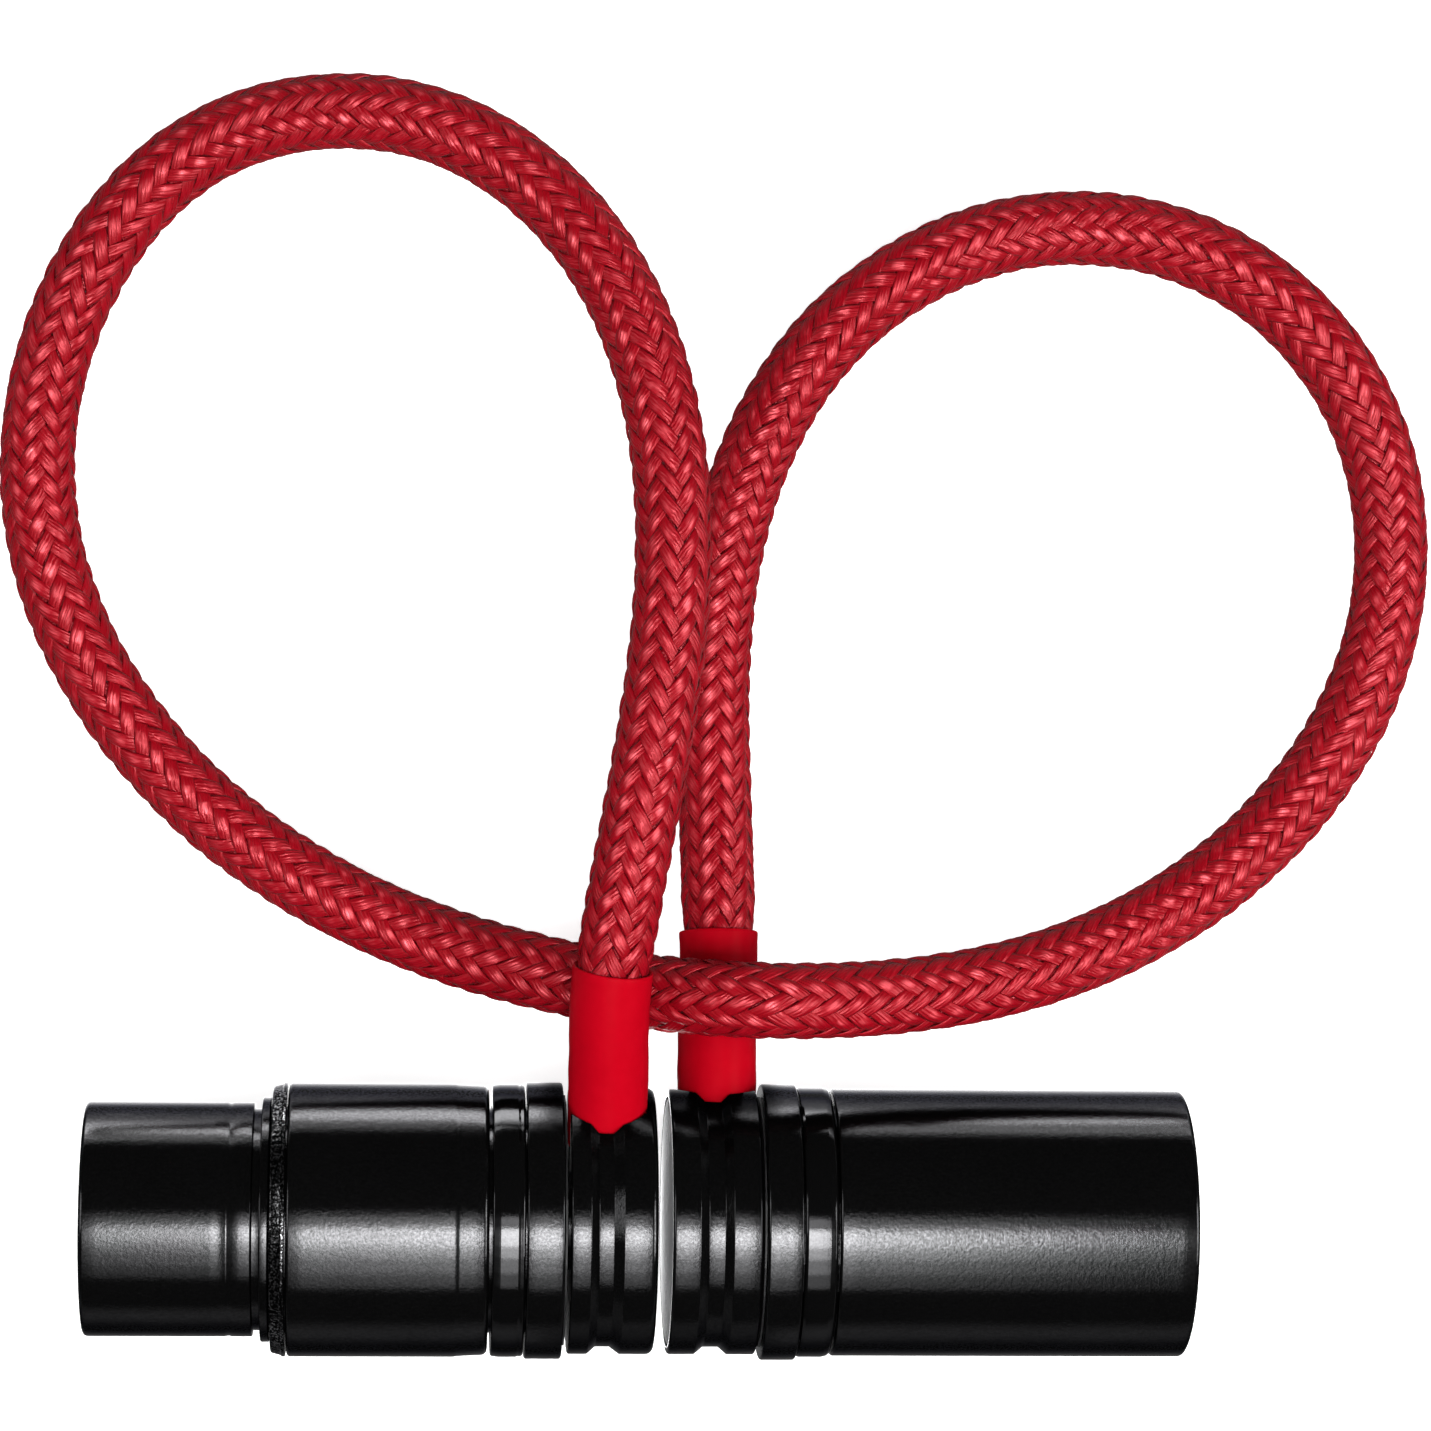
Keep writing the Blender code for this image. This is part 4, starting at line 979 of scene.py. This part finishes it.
disc = lathe("male_disc_skin", [
    (MALE_END_X, 0, 0), (MALE_END_X, 8.9, 0.05), (-4.45, 9.4, 0.1), (-4.85, 9.4, 0.1),
    (-4.85, 0, 0)], MALE_Y, BRIGHT)
place(disc, "male_cap", "male_end_disc")

insert = lathe("male_insert_skin", [
    (-34.9, 0, 0), (-34.9, INSERT_R, 0.3), (-33.6, INSERT_R, 0.05), (-33.4, 7.75, 0.05),
    (-32.9, 7.75, 0.05), (-32.7, INSERT_R, 0.05), (-28.2, INSERT_R, 0.3), (-28.2, 0, 0)],
    MALE_Y, PLASTIC, segments=96)
boolean(insert, [pin_cutter(centre, -36, -27, 1.32, 1.32, MALE_Y)
                 for centre in PIN_CENTRES.values()])
place(insert, "male_barrel", "male_insert")

for number, centre in PIN_CENTRES.items():
    pin = lathe(f"male_pin_{number}_skin", [
        (-49.2, 0, 0), (-49.2, 0.45, 0.35), (-48.65, PIN_R, 0.8), (-35.2, PIN_R, 0.05),
        (-35.0, PIN_R - 0.08, 0.03), (-34.6, PIN_R - 0.08, 0.03), (-34.4, PIN_R, 0.03),
        (-26.5, PIN_R, 0.1), (-26.3, 1.0, 0.05), (-21.6, 1.0, 0.08), (-21.6, 0.62, 0.08),
        (-23.4, 0.62, 0.1), (-23.4, 0, 0)],
        MALE_Y, GOLD, segments=48, centre=(centre.y, centre.z), longest=0.9)
    place(pin, "male_barrel", f"male_pin_{number}")

# ---------------------------------------------------------------- female connector
barrel = lathe("female_body_skin", [
    (10.12, SOCKET_R, 0.05), (10.12, FEMALE_BARREL_R, 0.22), (38.97, FEMALE_BARREL_R, 0.42),
    (38.97, SOCKET_R + 0.25, 0.12), (38.55, SOCKET_R, 0.05)], FEMALE_Y, ANODISED)
boolean(barrel, [slot_cutter(16.5, 21.9, (8.0, 13.0), 2.35, FEMALE_Y, corner=0.7)])
place(barrel, "female_barrel", "female_barrel")

lock_ring = lathe("female_lock_skin", [
    (7.29, SOCKET_R, 0.05), (7.29, 10.85, 0.12), (7.55, 10.95, 0.05), (9.35, 10.95, 0.05),
    (9.75, 10.86, 0.10), (9.95, 10.7, 0.10), (9.95, SOCKET_R, 0.05)], FEMALE_Y, ANODISED_FINE)
place(lock_ring, "female_barrel", "female_lock_ring")

collar = lathe("female_collar_skin", [
    (7.17, SOCKET_R, 0.05), (7.17, COLLAR_R, 0.16), (4.35, COLLAR_R, 0.2), (4.35, TUBE_R, 0.1),
    (1.9, TUBE_R, 0.12), (1.9, TUBE_BORE_R, 0.12), (4.75, TUBE_BORE_R, 0.1),
    (4.75, SOCKET_R, 0.1)], FEMALE_Y, ANODISED)
place(collar, "female_barrel", "female_swivel_collar")

cap = lathe("female_cap_skin", [
    (3.89, CAP_MOUTH_R, 0.05), (3.89, FEMALE_CAP_R, 0.16), (1.66, FEMALE_CAP_R, 0.10),
    (0.98, FEMALE_CAP_R - CAP_GROOVE, 0.10), (-0.30, FEMALE_CAP_R - CAP_GROOVE, 0.10),
    (-1.02, FEMALE_CAP_R, 0.10), (FEMALE_END_X, FEMALE_CAP_R, 0.5), (FEMALE_END_X, 10.15, 0.05),
    (-2.45, 10.15, 0.05), (-2.45, CAP_BORE_R, 0.05), (3.08, CAP_BORE_R, 0.1),
    (3.08, CAP_MOUTH_R, 0.1)], FEMALE_Y, ANODISED)
boolean(cap, port_cutters(FEMALE_EXIT_X, FEMALE_EXIT_TILT, FEMALE_Y, FEMALE_CAP_R))
place(cap, "female_cap", "female_rear_cap")

disc = lathe("female_disc_skin", [
    (FEMALE_END_X, 0, 0), (FEMALE_END_X, 9.7, 0.05), (-3.15, 9.95, 0.08), (-2.65, 9.95, 0.1),
    (-2.65, 0, 0)], FEMALE_Y, BRIGHT)
place(disc, "female_cap", "female_end_disc")

insert = lathe("female_insert_skin", [
    (38.1, 0, 0), (38.1, INSERT_R, 0.35), (23.5, INSERT_R, 0.1), (23.5, 9.5, 0.2),
    (21.2, 9.5, 0.2), (21.2, 0, 0)], FEMALE_Y, PLASTIC, segments=96)
# the keyway, then each pin's hole and the cone at its mouth
cutters = [slot_cutter(20.0, 40.0, (5.4, 11.0), 2.5, FEMALE_Y, corner=0.35)]
for centre in PIN_CENTRES.values():
    cutters.append(pin_cutter(centre, 20, 40, 1.75, 1.75, FEMALE_Y))
    cutters.append(pin_cutter(centre, 37.6, 38.6, 1.6, 2.35, FEMALE_Y))
boolean(insert, cutters)
# a small tongue on the insert's -X face
boolean(insert, [slot_cutter(17.8, 21.6, (2.6, 3.4), 1.6, FEMALE_Y, corner=0.2)], "UNION")
place(insert, "female_barrel", "female_insert")

for number, centre in PIN_CENTRES.items():
    contact = lathe(f"female_contact_{number}_skin", [
        (37.2, 1.36, 0.06), (37.2, CONTACT_R, 0.06), (36.2, CONTACT_R, 0.02),
        (36.0, 1.54, 0.02), (35.6, 1.54, 0.02), (35.4, CONTACT_R, 0.02),
        (20.0, CONTACT_R, 0.1), (19.8, 1.1, 0.05), (15.5, 1.1, 0.08), (15.5, 0.65, 0.08),
        (17.5, 0.65, 0.1), (17.5, 0.02, 0), (23.0, 0.02, 0), (23.0, 1.28, 0.1),
        (36.7, 1.28, 0.05)], FEMALE_Y, GOLD, segments=48, centre=(centre.y, centre.z))
    place(contact, "female_barrel", f"female_contact_{number}")


# ---------------------------------------------------------------- the latch
def latch_part(name, outline, material, bevel, node):
    """An (x, height) outline pushed out to both sides of the latch, its edges rounded."""
    half_width, columns = 2.0, 9
    points = soften([(x, height, bevel * 2) for x, height in outline], per_right_angle=3)
    count = len(points)
    bm = bmesh.new()
    rows = []
    for k in range(columns):
        across = -half_width + 2 * half_width * k / (columns - 1)
        rows.append([bm.verts.new((Vector((x - ORIGIN_X, 0, 0)) + LATCH_UP * height
                                   + LATCH_SIDE * across) * MM) for x, height in points])
    for row, following in zip(rows, rows[1:]):
        for i in range(count):
            j = (i + 1) % count
            bm.faces.new((row[i], following[i], following[j], row[j]))
    bm.faces.new(rows[0])
    bm.faces.new(rows[-1][::-1])
    ob = new_object(name, mesh_from(bm, name), material, on_axis(FEMALE_Y))
    modifier = ob.modifiers.new("edges", "BEVEL")
    modifier.width, modifier.segments = bevel * MM, 3
    modifier.limit_method, modifier.angle_limit = "ANGLE", radians(50)
    ob.data = applied(ob)
    shade(ob.data, sharp=35)
    place(ob, "latch", node)


def latch_spring():
    """The coil under the lever, from its foot on the barrel up to the lever."""
    turns, per_turn, wire_sides = 4, 32, 12
    wire_r, coil_r = 0.22, 1.05
    low, high = 3.75, 6.6               # heights from the connector's axis
    foot = Vector((19.3 - ORIGIN_X, FEMALE_Y - ORIGIN_Y, AXIS_Z))
    bm = bmesh.new()
    rings = []
    for k in range(turns * per_turn + 1):
        angle, share = 2 * pi * k / per_turn, k / (turns * per_turn)
        out = Vector((cos(angle), 0, 0)) + LATCH_SIDE * sin(angle)
        other = (Vector((-sin(angle), 0, 0)) + LATCH_SIDE * cos(angle)).cross(out)
        centre = foot + out * coil_r + LATCH_UP * (low + (high - low) * share)
        ring = []
        for j in range(wire_sides):
            turn = 2 * pi * j / wire_sides
            point = centre + out * wire_r * cos(turn) + other * wire_r * sin(turn)
            ring.append(bm.verts.new(point * MM))
        rings.append(ring)
    for ring, following in zip(rings, rings[1:]):
        for i in range(wire_sides):
            j = (i + 1) % wire_sides
            bm.faces.new((ring[i], ring[j], following[j], following[i]))
    bm.faces.new(rings[0][::-1])
    bm.faces.new(rings[-1])
    me = mesh_from(bm, "latch_spring_skin")
    me.shade_smooth()
    ob = new_object("latch_spring_skin", me, STEEL)
    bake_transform(ob)
    replace_nodes(ob, "female_latch_spring")


latch_part("latch_lever_skin", [
    (13.0, 6.9), (32.4, 6.9), (32.4, 8.0), (31.6, 8.9), (31.0, 8.9), (30.6, 7.6), (13.0, 7.6)],
    STEEL, bevel=0.08, node="female_latch_lever")
latch_part("latch_button_skin", [
    (16.9, 7.75), (21.5, 7.75), (21.5, 10.75), (21.1, 11.15), (17.3, 11.15), (16.9, 10.75)],
    ANODISED_FINE, bevel=0.14, node="female_latch_button")
latch_spring()

# ---------------------------------------------------------------- CAD nodes that stay
KEPT = {"male_swivel_washer": NYLON, "female_swivel_washer": NYLON,
        "male_snap_ring": STEEL, "female_snap_ring": STEEL,
        "male_crimp_ring": BRASS, "female_crimp_ring": BRASS,
        "female_chassis": ANODISED_FINE, "female_latch_pin": STEEL}
for number, material in WIRES.items():
    KEPT[f"male_wire_{number}"] = KEPT[f"female_wire_{number}"] = material
for name, material in KEPT.items():
    ob = NODES[name]
    if not ob.material_slots:
        ob.data.materials.append(material)
    for slot in ob.material_slots:
        slot.material = material


# ---------------------------------------------------------------- floor
def connector_glow(sh, ray_length):
    """Painted reflection: a glow on the floor that only the connectors' mirror rays see. Places
    are in metres.
    """
    geometry = sh.add("NewGeometry").outputs
    incoming, position = geometry["Incoming"], geometry["Position"]
    back = sh.scaled(incoming, ray_length)
    mirror = sh.add("VectorMath", {0: position, 1: back}, operation="ADD").outputs[0]
    mirror_x, mirror_y, mirror_z = sh.split(mirror)     # where the mirrored ray set out
    floor_y = sh.split(position)[1]
    ray_mm = sh.times(ray_length, 1000.0)
    # brightest at middling distances
    reach = sh.total(sh.rise(ray_mm, start=30.0, end=50.0, low=3.0, high=14.0),
                     sh.rise(ray_mm, start=72.0, end=160.0, low=0.0, high=-10.5))
    off_axis = sh.length_of(sh.minus(mirror_z, AXIS_Z * MM), sh.minus(mirror_y, -0.0408))
    near_axis = sh.rise(off_axis, start=0.0114, end=0.0119, low=1.0, high=0.0)
    slant = sh.math("ABSOLUTE", sh.split(incoming)[0])
    across = sh.rise(slant, start=0.30, end=0.50, low=1.0, high=0.0)
    # the rear caps mirror less of it
    caps = sh.times(sh.rise(mirror_x, start=-0.0155, end=-0.0135, low=0.0, high=0.8),
                    sh.rise(mirror_x, start=0.0035, end=0.0055, low=1.0, high=0.0))
    plus_y_part = sh.rise(floor_y, start=-0.040, end=-0.028, low=0.02, high=1.0)
    return sh.times(reach, near_axis, across, sh.minus(1.0, caps), plus_y_part)


def floor_material():
    """Pale floor, brighter to the camera and darker to mirror rays, with a painted reflection: a
    glow that only the connectors' mirror rays see.
    """
    sh = Shader("pale_floor")
    cloud = sh.noise(sh.mm(), scale=0.01)
    path = sh.add("LightPath").outputs
    camera, glossy = path["Is Camera Ray"], path["Is Glossy Ray"]
    level = sh.minus(sh.total(0.62, (camera, 0.30)), sh.times(glossy, 0.50))
    pale = sh.combine(level, level, level)
    sh.surface(Base_Color=sh.mix(sh.times(cloud, 0.04), pale, (0.85, 0.85, 0.86)),
               Roughness=0.9, Specular_IOR_Level=0.1)
    # painted reflection: the floor glows only for mirror rays near the connectors
    painted_reflection = sh.times(glossy, connector_glow(sh, path["Ray Length"]))
    emission = sh.add("Emission", {"Color": (1, 1, 1),
                                   "Strength": sh.total((camera, 0.75), painted_reflection)})
    both = sh.add("AddShader", {0: sh.principled.outputs[0], 1: emission.outputs[0]})
    sh.put(sh.tree.nodes["Material Output"], 0, both.outputs[0])
    return sh.material


bm = bmesh.new()
bmesh.ops.create_grid(bm, x_segments=8, y_segments=8, size=2.0)
me = bpy.data.meshes.new("floor")
bm.to_mesh(me)
bm.free()
floor = new_object("floor", me, floor_material(), (0, 0, -0.00003))

# ---------------------------------------------------------------- light
world = bpy.data.worlds.new("studio")
bpy.context.scene.world = world
world.use_nodes = True
background = world.node_tree.nodes["Background"]
background.inputs["Color"].default_value = (1.0, 1.0, 1.0, 1.0)
background.inputs["Strength"].default_value = 0.055


def rotation(right, up, back):
    """Quaternion of an object whose own axes point along the three vectors."""
    return Matrix((right, up, back)).transposed().to_quaternion()


def softbox(name, at, towards, size, radiance):
    """A rectangular area light of a given brightness, aimed at a point."""
    light = bpy.data.lights.new(name, "AREA")
    light.shape = "RECTANGLE"
    light.size, light.size_y = size[0] * MM, size[1] * MM
    light.energy = radiance * light.size * light.size_y * pi
    ob = bpy.data.objects.new(name, light)
    bpy.context.scene.collection.objects.link(ob)
    ob.location = Vector(at) * MM
    back = (Vector(at) * MM - Vector(towards) * MM).normalized()
    right = Vector((1, 0, 0))
    right = (right - back * right.dot(back)).normalized()
    ob.rotation_mode = "QUATERNION"
    ob.rotation_quaternion = rotation(right, back.cross(right), back)


CONNECTORS = Vector((0.0, -41.0, 11.0))


def arc_light(name, angle, distance, half_angle, length, radiance, x=0.0):
    """A strip over the connectors, angle degrees from straight up towards +Y."""
    tilt = radians(angle)
    at = CONNECTORS + Vector((x, distance * sin(tilt), distance * cos(tilt)))
    width = 2 * distance * np.tan(radians(half_angle))
    softbox(name, at, CONNECTORS + Vector((x, 0, 0)), (length, width), radiance)


# Strips side by side: angle, half of the angle covered, radiance over the connectors' middle,
# and the radiance that the wide and far strips take a share of.
STRIPS = ((4.5, 4, 3.0, 1.6), (-4.5, 3.5, 21, 6.5), (-12, 4, 19, 6.0), (-21, 5, 8.5, 3.0),
          (-32.5, 6.5, 3.6, 1.4), (-45.5, 6.5, 1.3, 0.6))
for k, (angle, half, bright, dim) in enumerate(STRIPS):
    arc_light(f"key_{k}", angle, 620, half, length=166, radiance=bright, x=20)
    arc_light(f"wide_{k}", angle, 640, half, length=270, radiance=dim * 0.7, x=-42)
    arc_light(f"far_{k}", angle, 660, half, length=800, radiance=dim * 0.16, x=60)
arc_light("rim_strip", 90.5, 420, 1.5, length=760, radiance=3)
softbox("gap_glow", at=(-5.1, -41.0, 0.25), towards=(-5.1, -41.0, 50), size=(1.4, 23.0),
        radiance=4.0)
softbox("fill_left", at=(-520, 60, 420), towards=(0, 0, 10), size=(320, 320), radiance=3.6)
softbox("side_key", at=(480, -60, 400), towards=(0, 0, 10), size=(240, 420), radiance=9.0)

# ---------------------------------------------------------------- camera
EYE, AIM = Vector((-25.50, 0.04, 404.2)), Vector((-0.60, 0.44, 11.2))
CAMERA_ROLL = radians(0.6)

camera_data = bpy.data.cameras.new("camera")
camera_data.lens, camera_data.sensor_width = 121.36, 36.0
camera_data.clip_start, camera_data.clip_end = 0.01, 20.0
camera = bpy.data.objects.new("camera", camera_data)
bpy.context.scene.collection.objects.link(camera)
forward = (AIM - EYE).normalized()
right = Vector((cos(CAMERA_ROLL), sin(CAMERA_ROLL), 0.0))
right = (right - forward * right.dot(forward)).normalized()
camera.rotation_mode = "QUATERNION"
camera.rotation_quaternion = rotation(right, right.cross(forward), -forward)
camera.location = EYE * MM
bpy.context.scene.camera = camera
bpy.context.scene.view_settings.view_transform = "Standard"
bpy.context.scene.view_settings.look = "None"

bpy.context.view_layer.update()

# the connectors do not mirror the cable
for ob in bpy.data.objects:
    if ob.name.startswith("braid_") or ob.name.endswith("_sleeve"):
        ob.visible_glossy = False
